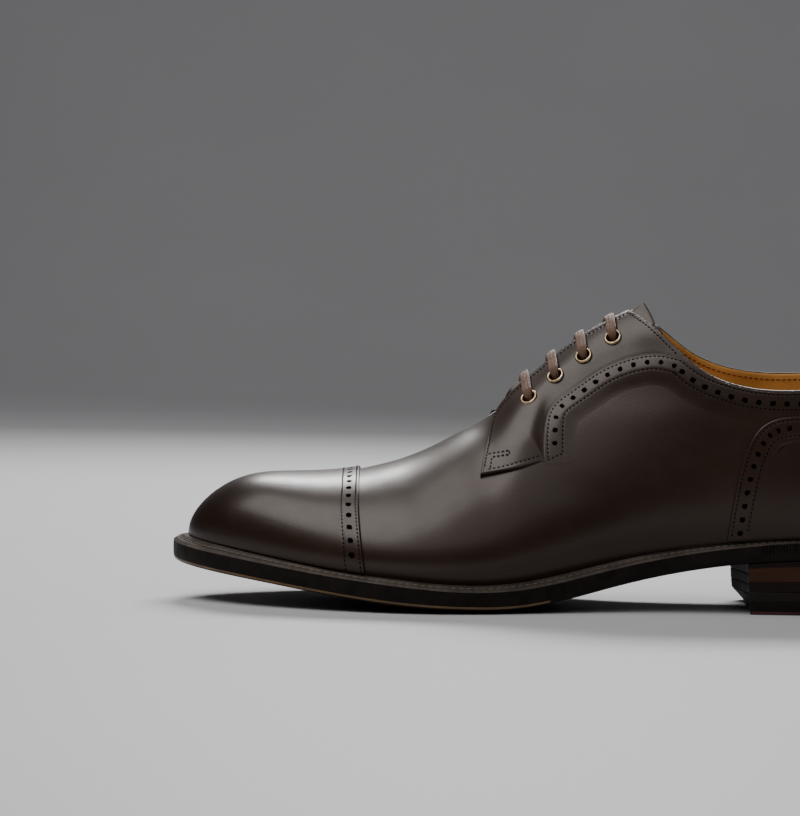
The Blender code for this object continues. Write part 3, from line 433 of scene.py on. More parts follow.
# %% Camera and light
IMAGE_SIZE = (800, 816)
CAMERA_STATION = 211.9
CAMERA_DISTANCE = 1150.0
CAMERA_HEIGHT = 114.45
CAMERA_PITCH = math.radians(1.8)
CAMERA_ROLL = math.radians(1.0)
FOCAL_PIXELS = 2840.5
SENSOR_WIDTH = 36.0
SKY_COLOUR = (0.55, 0.56, 0.60, 1.0)
SKY_STRENGTH = 0.06


def make_camera():
    forward = Vector((0.0, -math.cos(CAMERA_PITCH), -math.sin(CAMERA_PITCH)))
    level = Vector((-1.0, 0.0, 0.0))
    above = level.cross(forward)
    right = level * math.cos(CAMERA_ROLL) + above * math.sin(CAMERA_ROLL)
    up = above * math.cos(CAMERA_ROLL) - level * math.sin(CAMERA_ROLL)
    stance = Matrix((right, up, -forward)).transposed().to_4x4()
    stance.translation = Vector(np.array([CAMERA_STATION, CAMERA_DISTANCE, CAMERA_HEIGHT]) * MM + SHIFT)
    lens = bpy.data.cameras.new("camera")
    lens.sensor_fit = "HORIZONTAL"
    lens.sensor_width = SENSOR_WIDTH
    lens.lens = FOCAL_PIXELS / IMAGE_SIZE[0] * SENSOR_WIDTH
    camera = bpy.data.objects.new("camera", lens)
    camera.matrix_world = stance
    bpy.context.scene.collection.objects.link(camera)
    bpy.context.scene.camera = camera
    return camera


def make_panel(name, place, target, size, power, colour=(1.0, 1.0, 1.0)):
    lamp = bpy.data.lights.new(name, "AREA")
    lamp.shape = "RECTANGLE"
    lamp.size, lamp.size_y = size
    lamp.energy = power
    lamp.color = colour
    panel = bpy.data.objects.new(name, lamp)
    panel.location = place
    panel.rotation_euler = (Vector(target) - Vector(place)).to_track_quat("-Z", "Y").to_euler()
    bpy.context.scene.collection.objects.link(panel)


camera = make_camera()
make_panel("panel_back", (-0.08, -1.0, 0.98), (0.05, 0.0, 0.05), (0.9, 0.34), 23.0)
make_panel("panel_toe", (0.5, 0.35, 1.2), (0.0, 0.0, 0.06), (1.2, 0.9), 14.5)
make_panel("panel_front", (0.0, 1.15, 1.15), (0.0, 0.0, 0.06), (1.8, 0.75), 4.0)
make_panel("panel_sweep", (0.0, -1.2, 1.7), (0.0, -3.0, 0.2), (2.6, 0.5), 7.0)
world = bpy.context.scene.world or bpy.data.worlds.new("studio")
bpy.context.scene.world = world
world.use_nodes = True
world.node_tree.nodes["Background"].inputs["Color"].default_value = SKY_COLOUR
world.node_tree.nodes["Background"].inputs["Strength"].default_value = SKY_STRENGTH
print("camera lens, mm:", round(camera.data.lens, 1))

# %% [markdown]
# ## Finishes
# Each finish is a small net of nodes on a Principled shader. The calf is dark, almost black where it is
# burnished, with a thin polish on top, so most of what one sees is reflected light: colour mottling,
# pores and a varying roughness keep that reflection from looking like plastic. Textures are read in the
# object's own space, so they stay put on the leather from every side.


# %% Finish helpers
class Finish:
    """A Principled material with short ways to add textures to it."""

    def __init__(self, name, colour, roughness, **sockets):
        self.material = bpy.data.materials.new(name)
        self.material.use_nodes = True
        self.material.diffuse_color = (*colour, 1.0)
        self.tree = self.material.node_tree
        self.shader = self.tree.nodes["Principled BSDF"]
        self.shader.inputs["Base Color"].default_value = (*colour, 1.0)
        self.shader.inputs["Roughness"].default_value = roughness
        for socket, value in sockets.items():
            self.shader.inputs[socket.replace("_", " ")].default_value = value
        self.place = self.tree.nodes.new("ShaderNodeTexCoord").outputs["Object"]

    def node(self, kind, inputs=(), **settings):
        made = self.tree.nodes.new(kind)
        for name, value in settings.items():
            setattr(made, name, value)
        for socket, value in dict(inputs).items():
            if isinstance(value, bpy.types.NodeSocket):
                self.tree.links.new(value, made.inputs[socket])
            else:
                made.inputs[socket].default_value = value
        return made

    def noise(self, scale, detail=3.0, stretch=None):
        place = self.place
        if stretch:
            place = self.node("ShaderNodeMapping", {"Vector": place, "Scale": stretch}).outputs[0]
        made = self.node("ShaderNodeTexNoise", {"Vector": place, "Scale": scale, "Detail": detail})
        return made.outputs["Fac"]

    def cells(self, scale):
        made = self.node("ShaderNodeTexVoronoi", {"Vector": self.place, "Scale": scale})
        return made.outputs["Distance"]

    def remap(self, value, low, high, to_low, to_high):
        made = self.node(
            "ShaderNodeMapRange",
            {"Value": value, "From Min": low, "From Max": high, "To Min": to_low, "To Max": to_high},
            clamp=True,
        )
        return made.outputs["Result"]

    def blend(self, factor, first, second, mode="MIX"):
        made = self.node("ShaderNodeMix", data_type="RGBA", blend_type=mode)
        for socket, value in ((made.inputs[0], factor), (made.inputs[6], first), (made.inputs[7], second)):
            if isinstance(value, bpy.types.NodeSocket):
                self.tree.links.new(value, socket)
            elif isinstance(value, tuple):
                socket.default_value = (*value, 1.0)
            else:
                socket.default_value = value
        return made.outputs[2]

    def along(self, axis):
        """Gives the place along one axis of the shoe, in metres."""
        split = self.node("ShaderNodeSeparateXYZ", {"Vector": self.place})
        return split.outputs[axis]

    def set(self, socket, value):
        self.tree.links.new(value, self.shader.inputs[socket])

    def bump(self, height, strength, distance, under=None):
        inputs = {"Height": height, "Strength": strength, "Distance": distance}
        if under is not None:
            inputs["Normal"] = under
        made = self.node("ShaderNodeBump", inputs)
        self.tree.links.new(made.outputs["Normal"], self.shader.inputs["Normal"])
        return made.outputs["Normal"]


# %% [markdown]
# ### Leathers and threads
# The calf is darkened towards the toe by hand polish, so its colour is read along the shoe. The lining is
# plain tan leather, and cut edges and threads are fibrous and matt.

# %% Leathers and threads
TOE_BURNISH = (SHIFT[0] + 238 * MM, SHIFT[0] + 292 * MM)


def polished_calf(name, brown, dark):
    gloss = {"Coat_Weight": 0.25, "Coat_Roughness": 0.24, "Specular_IOR_Level": 0.36}
    look = Finish(name, brown, 0.36, Specular_Tint=(1.0, 0.88, 0.79, 1.0), **gloss)
    mottle = look.remap(look.noise(26.0, 3.0), 0.3, 0.7, 0.0, 1.0)
    colour = look.blend(mottle, dark, brown)
    toe = look.remap(look.along("X"), *TOE_BURNISH, 0.0, 0.7)
    colour = look.blend(toe, colour, tuple(0.5 * part for part in dark))
    look.set("Base Color", colour)
    look.set("Roughness", look.remap(look.noise(160.0, 3.0), 0.3, 0.7, 0.33, 0.40))
    fine = look.bump(look.noise(1500.0, 4.0), 0.22, 0.0002)
    look.bump(look.cells(1700.0), 0.09, 0.0002, fine)
    return look.material


def tan_lining():
    look = Finish("tan_lining", (0.36, 0.185, 0.050), 0.5, Specular_IOR_Level=0.3)
    mottle = look.remap(look.noise(60.0, 4.0), 0.3, 0.7, 0.0, 1.0)
    look.set("Base Color", look.blend(mottle, (0.42, 0.205, 0.050), (0.58, 0.300, 0.080)))
    look.bump(look.noise(1100.0, 4.0), 0.12, 0.0002)
    return look.material


def raw_edge():
    look = Finish("raw_leather_edge", (0.20, 0.115, 0.055), 0.75, Specular_IOR_Level=0.2)
    fibre = look.noise(700.0, 5.0, (1.0, 1.0, 4.0))
    look.set("Base Color", look.blend(fibre, (0.10, 0.055, 0.026), (0.30, 0.185, 0.095)))
    look.bump(fibre, 0.3, 0.0003)
    return look.material


def waxed_thread(name, light, shade, gloss=0.35):
    look = Finish(name, light, 0.55, Specular_IOR_Level=gloss)
    look.set("Base Color", look.blend(look.noise(900.0, 2.0), shade, light))
    look.bump(look.noise(2600.0, 2.0, (1.0, 0.4, 1.0)), 0.3, 0.0002)
    return look.material


CALF = polished_calf("polished_calf", (0.022, 0.0098, 0.0056), (0.016, 0.0070, 0.0040))
LINING = tan_lining()
RAW_EDGE = raw_edge()
# Dark brown thread, darkened further into painted shade of the needle holes and their shadow.
THREAD_DARK_AND_HOLE_SHADE = waxed_thread("dark_thread_painted_hole_shade", (0.0055, 0.004, 0.0035), (0.003, 0.0025, 0.002), 0.08)
THREAD_PALE = waxed_thread("pale_thread", (0.16, 0.135, 0.115), (0.07, 0.055, 0.045))
THREAD_RED = waxed_thread("red_brown_thread", (0.20, 0.036, 0.014), (0.12, 0.020, 0.008))
# Near-black painted shade for the faces inside the punched wells.
HOLE_SHADE_LOOK = Finish("punched_hole_painted_shade", (0.006, 0.004, 0.003), 0.9, Specular_IOR_Level=0.05).material
print("leather finishes:", CALF.name, LINING.name, RAW_EDGE.name)

# %% [markdown]
# ## From grids to pieces
# Every leather piece starts as a grid of points laid on the last. A grid is the simplest mesh that bends
# well and takes smooth shading. A second grid below it and a skirt round the border close the piece into
# a shell with a real thickness, which also gives clean edges wherever the light catches them.

# %% Grid helpers
SHARP_ANGLE = 50.0


def to_frame(points):
    return np.asarray(points) * MM + SHIFT


def grid_quads(rows, columns, first=0):
    index = np.arange(rows * columns).reshape(rows, columns) + first
    return np.stack([index[:-1, :-1], index[:-1, 1:], index[1:, 1:], index[1:, :-1]], axis=-1).reshape(-1, 4)


def border_loop(rows, columns):
    """Lists the indices round a grid's border, in order."""
    index = np.arange(rows * columns).reshape(rows, columns)
    return np.concatenate([index[0, :-1], index[:-1, -1], index[-1, :0:-1], index[:0:-1, 0]])


def make_piece(name, points, faces, looks, face_looks=None, sharp=SHARP_ANGLE, weld=0.004):
    """Makes an object from points in millimetres, welds what falls together and turns its faces out."""
    mesh = bpy.data.meshes.new(name)
    mesh.from_pydata(to_frame(points).tolist(), [], np.asarray(faces).tolist())
    for look in looks:
        mesh.materials.append(look)
    if face_looks is not None:
        mesh.polygons.foreach_set("material_index", np.asarray(face_looks, dtype=np.int32))
    shape = bmesh.new()
    shape.from_mesh(mesh)
    bmesh.ops.remove_doubles(shape, verts=shape.verts, dist=weld * MM)
    bmesh.ops.dissolve_degenerate(shape, edges=shape.edges, dist=weld * MM / 4)
    bmesh.ops.recalc_face_normals(shape, faces=shape.faces)
    shape.to_mesh(mesh)
    shape.free()
    mesh.shade_smooth()
    mesh.set_sharp_from_angle(angle=math.radians(sharp))
    piece = bpy.data.objects.new(name, mesh)
    bpy.context.scene.collection.objects.link(piece)
    return piece


def make_shell(name, top, low, looks, low_look=0, skirt_look=0, sharp=SHARP_ANGLE, sunk=None):
    """Closes two grids of the same size into one shell."""
    rows, columns = top.shape[:2]
    count = rows * columns
    loop = border_loop(rows, columns)
    after = np.roll(loop, -1)
    skirt = np.stack([loop, loop + count, after + count, after], axis=-1)
    faces = np.concatenate([grid_quads(rows, columns), grid_quads(rows, columns, count)[:, ::-1], skirt])
    sheet = (rows - 1) * (columns - 1)
    face_looks = np.repeat([0, low_look, skirt_look], [sheet, sheet, len(skirt)])
    # Faces that touch a punched well take the second look, the painted shade inside the holes.
    if sunk is not None:
        corners = sunk[:-1, :-1].astype(int) + sunk[1:, :-1] + sunk[:-1, 1:] + sunk[1:, 1:]
        face_looks[:sheet] = (corners.ravel() > 0) * 1
    points = np.concatenate([top.reshape(-1, 3), low.reshape(-1, 3)])
    return make_piece(name, points, faces, looks, face_looks, sharp)


def settle(piece, slot, *nodes):
    """Puts a piece on the shoe: it rides with the body and stands for solids; the slot is not used."""
    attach(piece, "root")
    if nodes:
        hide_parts(*nodes)
    print(f"{piece.name}: {len(piece.data.polygons)} faces")
    return piece


def even_places(points, pitch):
    """Gives row numbers that are evenly spaced along a line of points, and the line's length."""
    way = np.concatenate([[0.0], np.cumsum(np.linalg.norm(np.diff(points, axis=0), axis=-1))])
    count = max(int(round(way[-1] / pitch)), 1)
    return np.interp(np.linspace(0.0, way[-1], count + 1), way, np.arange(len(points))), way[-1]


def pick(values, places):
    """Reads rows of an array at fractional places."""
    low = np.clip(np.floor(places).astype(int), 0, len(values) - 2)
    share = places - low
    share = share.reshape((-1,) + (1,) * (np.ndim(values) - 1))
    return values[low] * (1 - share) + values[low + 1] * share


def unit(vectors):
    return vectors / np.maximum(np.linalg.norm(vectors, axis=-1, keepdims=True), 1e-9)


def groove(distance, place, width, depth):
    """Gives a soft trough of a width and depth at a place across a strip."""
    return -depth * np.exp(-(((distance - place) / width) ** 2))


def quarter_round(distance, radius):
    """Gives 0 at an edge, growing to 1 over a radius as a quarter circle does."""
    share = np.clip(1 - distance / radius, 0.0, 1.0)
    return np.sqrt(np.maximum(1 - share**2, 0.0))


# %% [markdown]
# ## The floor
# A pale sheet of paper lies under the shoe and sweeps up far behind it. It is a grid of a few rows.

# %% The floor
SWEEP_START = -1.7
SWEEP_RADIUS = 1.4
FLOOR_COLOUR = (0.50, 0.50, 0.51)


def make_floor():
    """Lays a pale sheet that sweeps up far behind the shoe, so that no edge shows."""
    turn = np.linspace(0.0, math.pi / 2, 13)
    bend = np.stack([SWEEP_START - SWEEP_RADIUS * np.sin(turn), SWEEP_RADIUS * (1 - np.cos(turn))], axis=-1)
    line = np.concatenate([[[3.0, 0.0], [1.0, 0.0]], bend, [[SWEEP_START - SWEEP_RADIUS, 4.0]]])
    points = [(x, y, z) for y, z in line for x in (-4.0, 0.0, 4.0)]
    mesh = bpy.data.meshes.new("floor")
    mesh.from_pydata(points, [], grid_quads(len(line), 3)[:, ::-1].tolist())
    mesh.shade_smooth()
    look = Finish("pale_floor", FLOOR_COLOUR, 0.55, Specular_IOR_Level=0.3)
    paper = look.remap(look.noise(3.0, 2.0), 0.3, 0.7, 0.97, 1.0)
    look.set("Base Color", look.blend(1.0, FLOOR_COLOUR, paper, "MULTIPLY"))
    mesh.materials.append(look.material)
    floor = bpy.data.objects.new("floor", mesh)
    bpy.context.scene.collection.objects.link(floor)


make_floor()
print("floor sweeps up, m behind the shoe:", -SWEEP_START)

# %% [markdown]
# ## Punched holes
# Brogue holes are real holes, two millimetres wide. Cutting each one with a Boolean would be slow and
# would leave long thin faces in the gloss. Instead the points of a fine grid near each hole slide onto
# two circles, one at the rim and one a little inside and deep down, so each hole is a small round well.

# %% Punching
HOLE_RADIUS = 1.0
HOLE_DEPTH = 1.5
hole_spots = []


def punch(top, low, along, across, holes):
    """Sinks round wells into a shell whose rows lie at distances along it and columns across it."""
    run = unit(np.gradient(top, axis=0))
    side = unit(np.gradient(top, axis=1))
    inward = unit(low - top)
    outside = top
    top = top.copy()
    low = low.copy()
    sunk = np.zeros(top.shape[:2], dtype=bool)
    reach = 1.5 * HOLE_RADIUS
    for hole_along, hole_across in holes:
        rows = np.flatnonzero(np.abs(along - hole_along) < reach)
        columns = np.flatnonzero(np.abs(across - hole_across) < reach)
        if len(rows) == 0 or len(columns) == 0:
            continue
        middle = np.argmin(np.abs(along - hole_along)), np.argmin(np.abs(across - hole_across))
        hole_spots.append((outside[middle], inward[middle]))
        here = np.ix_(rows, columns)
        ahead = (along[rows] - hole_along)[:, None] + np.zeros(len(columns))
        beside = (across[columns] - hole_across)[None, :] + np.zeros((len(rows), 1))
        distance = np.hypot(ahead, beside)
        inside = distance < HOLE_RADIUS
        wall = np.where(inside, 0.88, 1.06) * HOLE_RADIUS
        near_wall = (distance > 0.5 * HOLE_RADIUS) & (distance < 1.4 * HOLE_RADIUS)
        slide = np.where(near_wall, wall / np.maximum(distance, 1e-6) - 1, 0.0)
        shift = run[here] * (ahead * slide)[..., None] + side[here] * (beside * slide)[..., None]
        sink = inward[here] * np.where(inside, HOLE_DEPTH, 0.0)[..., None]
        top[here] += shift + sink
        low[here] += shift + sink
        sunk[here] |= inside
    return top, low, sunk


def sink_under_holes(piece):
    """Presses a skin down under every punched hole, so that it doesn't fill the wells."""
    points = np.empty(3 * len(piece.data.vertices))
    piece.data.vertices.foreach_get("co", points)
    points = points.reshape(-1, 3)
    floor = (HOLE_DEPTH + 0.12) * MM
    for centre, inward in hole_spots:
        away = points - to_frame(centre[None])
        depth = away @ inward
        beside = np.linalg.norm(away - depth[:, None] * inward, axis=-1)
        shallow = (beside < 2.3 * HOLE_RADIUS * MM) & (np.abs(depth) < 2 * floor) & (depth < floor)
        points[shallow] += inward * (floor - depth[shallow])[:, None]
    piece.data.vertices.foreach_set("co", points.ravel())
    piece.data.update()


# %% [markdown]
# ## The wall of the upper
# Vamp and quarters are one skin pulled over the last. The grid runs from the toe round the heel and back,
# and from the feather line at the sole up to the collar. A new, well lasted shoe hardly creases: there are
# soft hollows where the vamp flexes, under the facing's corner and below the collar, listed in a table.
# The lining is a second skin inside it, and the two meet at a rolled top line.

# %% Wall and lining
WALL = 2.0
OUTER_SKIN = 1.1
SIDE_COLUMNS = 250
WALL_ROWS = 76
LINING_ROWS = 24
ROLL_START = 3.0
TONGUE_COVER = (12 * MM, 60 * MM)
CREASES = table(
    "side station height angle length width depth",
    (LATERAL, 203, 44, 62, 22, 7.0, 0.14),
    (LATERAL, 190, 41, 58, 20, 8.0, 0.14),
    (LATERAL, 150, 50, 16, 20, 9.0, 0.20),
    (LATERAL, 116, 86, -6, 26, 8.0, 0.30),
    (LATERAL, 92, 58, 70, 30, 11.0, 0.30),
    (MEDIAL, 205, 42, 66, 20, 7.0, 0.16),
    (MEDIAL, 191, 40, 60, 20, 8.0, 0.16),
    (MEDIAL, 146, 56, 24, 20, 9.0, 0.24),
    (MEDIAL, 112, 80, -6, 26, 9.0, 0.30),
    (MEDIAL, 92, 58, 66, 30, 11.0, 0.30),
)


def crease_lift(side, lap, rise):
    """Adds up the soft hollows of one side, each with a low ridge beside it."""
    place = last_point(side, lap, rise)
    lift = np.zeros(place.shape[:-1])
    for row in zip(*CREASES.values()):
        crease_side, station, height, angle, length, width, depth = row
        if crease_side != side:
            continue
        turn = math.radians(angle)
        ahead = place[..., 0] - station
        above = place[..., 2] - height
        along = ahead * math.cos(turn) + above * math.sin(turn)
        across = above * math.cos(turn) - ahead * math.sin(turn)
        trough = (across / width) ** 2
        lift -= depth * np.exp(-((along / length) ** 2)) * (1 - 0.7 * trough) * np.exp(-trough)
    return lift


def side_grid(side, rows, lift, roll):
    """Lays a grid on one side of the last, columns from toe to heel, with a roll only at the open edge."""
    lap = np.linspace(1.0, 0.0, SIDE_COLUMNS + 1)[None, :]
    rise = rows[:, None] * rim_rise(side, lap[0])[None, :]
    edge = np.clip((THROAT_FRONT - station_at(lap)) / ROLL_START, 0.0, 1.0)
    lap = np.broadcast_to(lap, rise.shape)
    return off_last(side, lap, rise, lift + roll[:, None] * edge + crease_lift(side, lap, rise))


def whole_grid(rows, lift, roll):
    """Joins the outer side's columns to the inner side's at the back of the heel."""
    inner = side_grid(MEDIAL, rows, lift, roll)[:, ::-1]
    return np.concatenate([side_grid(LATERAL, rows, lift, roll), inner[:, 1:]], axis=1)


def close_vamp(piece):
    """Takes out the faces between the two sides along the ridge of the vamp, where the skin runs on."""
    shape = bmesh.new()
    shape.from_mesh(piece.data)
    crossed = {edge for edge in shape.edges if len(edge.link_faces) > 2}
    between = [face for face in shape.faces if sum(edge in crossed for edge in face.edges) > 1]
    bmesh.ops.delete(shape, geom=between, context="FACES")
    shape.to_mesh(piece.data)
    shape.free()
    piece.data.set_sharp_from_angle(angle=math.radians(SHARP_ANGLE))
    print(f"{piece.name}: {len(between)} faces taken out along the ridge")
    return piece


def make_wall():
    rows = np.concatenate([np.linspace(0.0, 0.985, WALL_ROWS), [0.991, 0.996, 1.0]])
    roll = np.array([0.0] * WALL_ROWS + [-0.02, -0.16, -0.5])
    top = whole_grid(rows, 0.0, roll)
    low = whole_grid(rows, -OUTER_SKIN, 0 * roll)
    return close_vamp(make_shell("upper_wall", top, low, [CALF]))


def make_lining():
    rows = np.concatenate([0.98 * np.linspace(0.0, 1.0, LINING_ROWS) ** 0.75, [0.988, 0.994]])
    toward_edge = np.concatenate([np.zeros(LINING_ROWS - 2), [0.6, 1.0, 1.0, 1.0]])
    roll = np.concatenate([np.zeros(LINING_ROWS), [0.1, 0.35]])
    outer = whole_grid(rows, -OUTER_SKIN - 0.4, 0.3 * toward_edge)
    inner = whole_grid(rows, -WALL, roll)
    lining = close_vamp(make_shell("lining", outer, inner, [LINING, CALF]))
    for face in lining.data.polygons:
        under_tongue = face.center.x > TONGUE_COVER[0] and face.center.z > TONGUE_COVER[1]
        face.material_index = 1 if under_tongue else 0
    return lining


settle(make_wall(), "upper_leather", "upper")
settle(make_lining(), "lining_leather", "upper")

# %% [markdown]
# ## The punched band
# The quarter's own edge laps over the facing: a stitch row, a row of holes, and a second stitch row that
# presses the leather down. Behind the facing the same edge is the top line. It is a strip laid along its
# edge, with lanes a fraction of a millimetre apart. A lift for each lane raises the edge, sinks the stitch
# grooves and lets the strip fade into the wall, so no seam shows where the leather is one piece.

# %% Strips along an edge
BAND_EDGE = table(
    "station height",
    (154.6, 59.6),
    (154.9, 66.0),
    (154.3, 72.9),
    (153.1, 77.4),
    (150.9, 80.9),
    (147.7, 83.9),
    (142.1, 88.0),
    (136.2, 92.3),
    (132.2, 94.9),
    (124.3, 98.7),
    (116.5, 101.1),
    (108.7, 101.9),
    (100.0, 100.2),
)
SLIT_RUN = 4.8
STRIP_WIDTH = 0.9
STRIP_PITCH = 0.42
LINE_POINTS = 240
EDGE_LANES = (0.0, 0.05, 0.15, 0.3, 0.5)
stitch_lines = []


def soft_step(value, low, high):
    share = np.clip((value - low) / (high - low), 0.0, 1.0)
    return share * share * (3 - 2 * share)


def walk(side, lap, rise, direction, distance):
    """Moves along the last's surface by a short distance in a direction."""
    along, upward = last_slopes(side, lap, rise)
    grow = np.stack([along, upward], axis=-1)
    move = np.linalg.pinv(grow) @ (direction * distance)[..., None]
    return np.clip(lap + move[..., 0, 0], 0.0, 1.0), rise + move[..., 1, 0]


def even_line(side, lap, rise, pitch):
    """Spaces a line on the surface evenly, and gives the distance along it too."""
    places, length = even_places(last_point(side, lap, rise), pitch)
    return pick(lap, places), pick(rise, places), np.linspace(0.0, length, len(places))


def lanes_beside(side, lap, rise, across):
    """Gives laps and rises of lanes that run beside an edge line, at distances across from it."""
    tangent = unit(np.gradient(last_point(side, lap, rise), axis=0))
    tangent[-1] *= (0.0, 1.0, 0.0)
    away = unit(np.cross(unit(tangent), last_normal(side, lap, rise))) * side
    laps = [lap]
    rises = [rise]
    for step in np.diff(across):
        moved = walk(side, laps[-1], rises[-1], away, step)
        laps.append(moved[0])
        rises.append(moved[1])
    return np.stack(laps, axis=1), np.stack(rises, axis=1)


def band_line(side):
    """Gives laps and rises of the band's edge: from the slit's end up the facing, then along the collar."""
    station, height = path_through(BAND_EDGE, LINE_POINTS)
    lap = lap_at(station)
    rise = rise_at_height(LATERAL, lap, height)
    higher = COLLAR_HEIGHT[side](station) - COLLAR_HEIGHT[LATERAL](station)
    by_height = rise_at_height(side, lap, height + higher)
    rise = rise + (by_height - rise) * soft_step(station, 132.0, 104.0)
    back = np.linspace(lap[-1], 0.0, LINE_POINTS)[1:]
    rim_height = last_point(side, back, rim_rise(side, back))[..., 2]
    strip = last_point(side, lap[-1], rim_rise(side, lap[-1:])[0])[2] - last_point(side, lap[-1], rise[-1])[2]
    strips = strip + (STRIP_WIDTH - strip) * soft_step(station_at(back), 100.0, 82.0)
    back_rise = rise_at_height(side, back, rim_height - strips)
    return np.concatenate([lap, back]), np.concatenate([rise, back_rise])


def sample(grid, rows, columns):
    """Reads a grid at fractional rows and columns."""
    row = np.clip(np.floor(rows).astype(int), 0, grid.shape[0] - 2)
    column = np.clip(np.floor(columns).astype(int), 0, grid.shape[1] - 2)
    down = (rows - row)[:, None]
    right = (columns - column)[:, None]
    near = grid[row, column] * (1 - right) + grid[row, column + 1] * right
    far = grid[row + 1, column] * (1 - right) + grid[row + 1, column + 1] * right
    return near * (1 - down) + far * down


def note_row(top, low, along, across, places, start=0.0, end=0.0):
    """Keeps the line of a stitch row on a shell, from pairs of distances along and across it."""
    rows = np.interp(places[0], along, np.arange(len(along)))
    columns = np.interp(places[1], across, np.arange(len(across)))
    line = sample(top, rows, columns)
    stitch_lines.append((line, unit(line - sample(low, rows, columns)), start, end))


# %% [markdown]
# ### The band itself
# The strip is a fine grid. Its first lanes round the edge over, two shallow grooves carry the stitch rows,
# and the holes are pressed in at even steps along the lane between them. Towards the end of the slit the
# step fades into the wall.

# %% The band
BAND_STEP = (0.95, 0.55)
BAND_ROWS = ((1.6, 1.0, 1.0), (7.5, 6.3, 6.8))
BAND_HOLES = (4.4, 3.4, 4.6)
BAND_CORNER = (10.0, 28.0)
BAND_TURN = (70.0, 108.0)
HOLE_PITCH = 5.5
FIRST_HOLE = 7.8
BAND_ACROSS = np.concatenate([EDGE_LANES, np.arange(0.75, 7.6, 0.34), np.arange(8.0, 14.6, 0.6)])


def on_band(along, widths):
    """Gives a distance from the band's edge: by the slit, on the way up and along the collar."""
    first, middle, last = widths
    along_collar = soft_step(along, *BAND_TURN)
    return first + (middle - first) * soft_step(along, *BAND_CORNER) + (last - middle) * along_collar


def make_band(side, name):
    lap, rise = band_line(side)
    below = np.linspace(SLIT_RUN, 0.1, 20)
    height = last_point(side, lap[0], rise[0])[2] - below
    lap = np.concatenate([np.full(len(below), lap[0]), lap])
    rise = np.concatenate([rise_at_height(side, lap[: len(below)], height), rise])
    lap, rise, along = even_line(side, lap, rise, STRIP_PITCH)
    along = along - SLIT_RUN
    laps, rises = lanes_beside(side, lap, rise, BAND_ACROSS)
    turned = soft_step(along, *BAND_TURN)[:, None]
    step = BAND_STEP[0] + (BAND_STEP[1] - BAND_STEP[0]) * turned
    step = step * (0.06 + 0.94 * soft_step(along, 0.0, 24.0)[:, None])
    lift = step * quarter_round(BAND_ACROSS, 0.45) * (1 - soft_step(BAND_ACROSS, 4.5, 13.0))
    stitched = soft_step(along, -0.5, 1.5)[:, None]
    for widths in BAND_ROWS:
        lift = lift + groove(BAND_ACROSS, on_band(along, widths)[:, None], 0.4, 0.07) * stitched
    lift = lift - 0.16 * soft_step(BAND_ACROSS, 12.6, 14.4) - 0.3 * (BAND_ACROSS == 0)
    end = soft_step(along, -4.4, 0.4)[:, None]
    lift = lift * end - 0.1 * (1 - end) + crease_lift(side, laps, rises)
    top = off_last(side, laps, rises, lift)
    low = off_last(side, laps, rises, np.minimum(lift - 0.3, -0.45))
    for widths, start in zip(BAND_ROWS, (0.8, 3.0)):
        sewn = along[along > start]
        note_row(top, low, along, BAND_ACROSS, (sewn, on_band(sewn, widths)))
    closing = np.linspace(0.0, 1.0, 20)
    note_row(top, low, along, BAND_ACROSS, (0.4 + 2.8 * closing, 1.0 + 6.4 * closing))
    lane = along[along > FIRST_HOLE]
    rows = np.interp(lane, along, np.arange(len(along)))
    columns = np.interp(on_band(lane, BAND_HOLES), BAND_ACROSS, np.arange(len(BAND_ACROSS)))
    at = pick(lane, even_places(sample(top, rows, columns), HOLE_PITCH)[0])[:-1]
    top, low, sunk = punch(top, low, along, BAND_ACROSS, list(zip(at, on_band(at, BAND_HOLES))))
    return make_shell(name, top, low, [CALF, HOLE_SHADE_LOOK], sunk=sunk)


settle(make_band(LATERAL, "band_lateral"), "upper_leather", "upper")
settle(make_band(MEDIAL, "band_medial"), "upper_leather", "upper")

# %% [markdown]
# ## The facings
# A facing carries the eyelets. Its front flap lies free on the vamp, its back runs under the band and its
# tail follows the top line. It is a sheet between two edges, with rows packed towards both of them, so the
# free edge can be rounded. Faces inside each eyelet are taken out, and the ring of points left over is
# drawn onto a circle that the metal hides.

# %% The facings
FACING_FRONT = table(
    "station height",
    (179.8, 52.6),
    (178.3, 59.7),
    (176.7, 65.4),
    (175.1, 71.1),
    (173.6, 74.9),
)
FACING_CORNER = table(
    "station wider",
    (140, 0.0),
    (150, 0.4),
    (160, 1.4),
    (166.2, 2.0),
    (169.4, 2.9),
    (171.5, 4.8),
    (173.0, 6.0),
)
FACING_FOOT = table(
    "station height",
    (179.8, 52.6),
    (171.8, 54.4),
    (164.2, 56.3),
    (154.6, 59.6),
)
EYELETS = table(
    "station height",
    (159.7, 82.7),
    (149.2, 91.6),
    (138.1, 99.8),
    (126.5, 107.4),
)
BAR_TACK = table(
    "station height",
    (175.6, 55.0),
    (174.7, 59.2),
    (168.0, 60.7),
    (167.9, 62.2),
    (176.4, 60.2),
)
FACING_HALF = 6.0
FACING_TOP = 2.0
FACING_TUCK = 1.2
FLAP_TOP = 173.0
FLAP_SHARE = 0.25
EDGE_POINTS = 120
FACING_COLUMNS = 260
FACING_ROWS = 64
FACING_STITCH = 2.0
EYELET_ROOM = 2.75


def facing_half(station):
    """Gives half the gap between the facings: parallel edges that round off to the flaps' fronts."""
    return np.interp(station, FACING_CORNER["station"], FACING_HALF + FACING_CORNER["wider"])


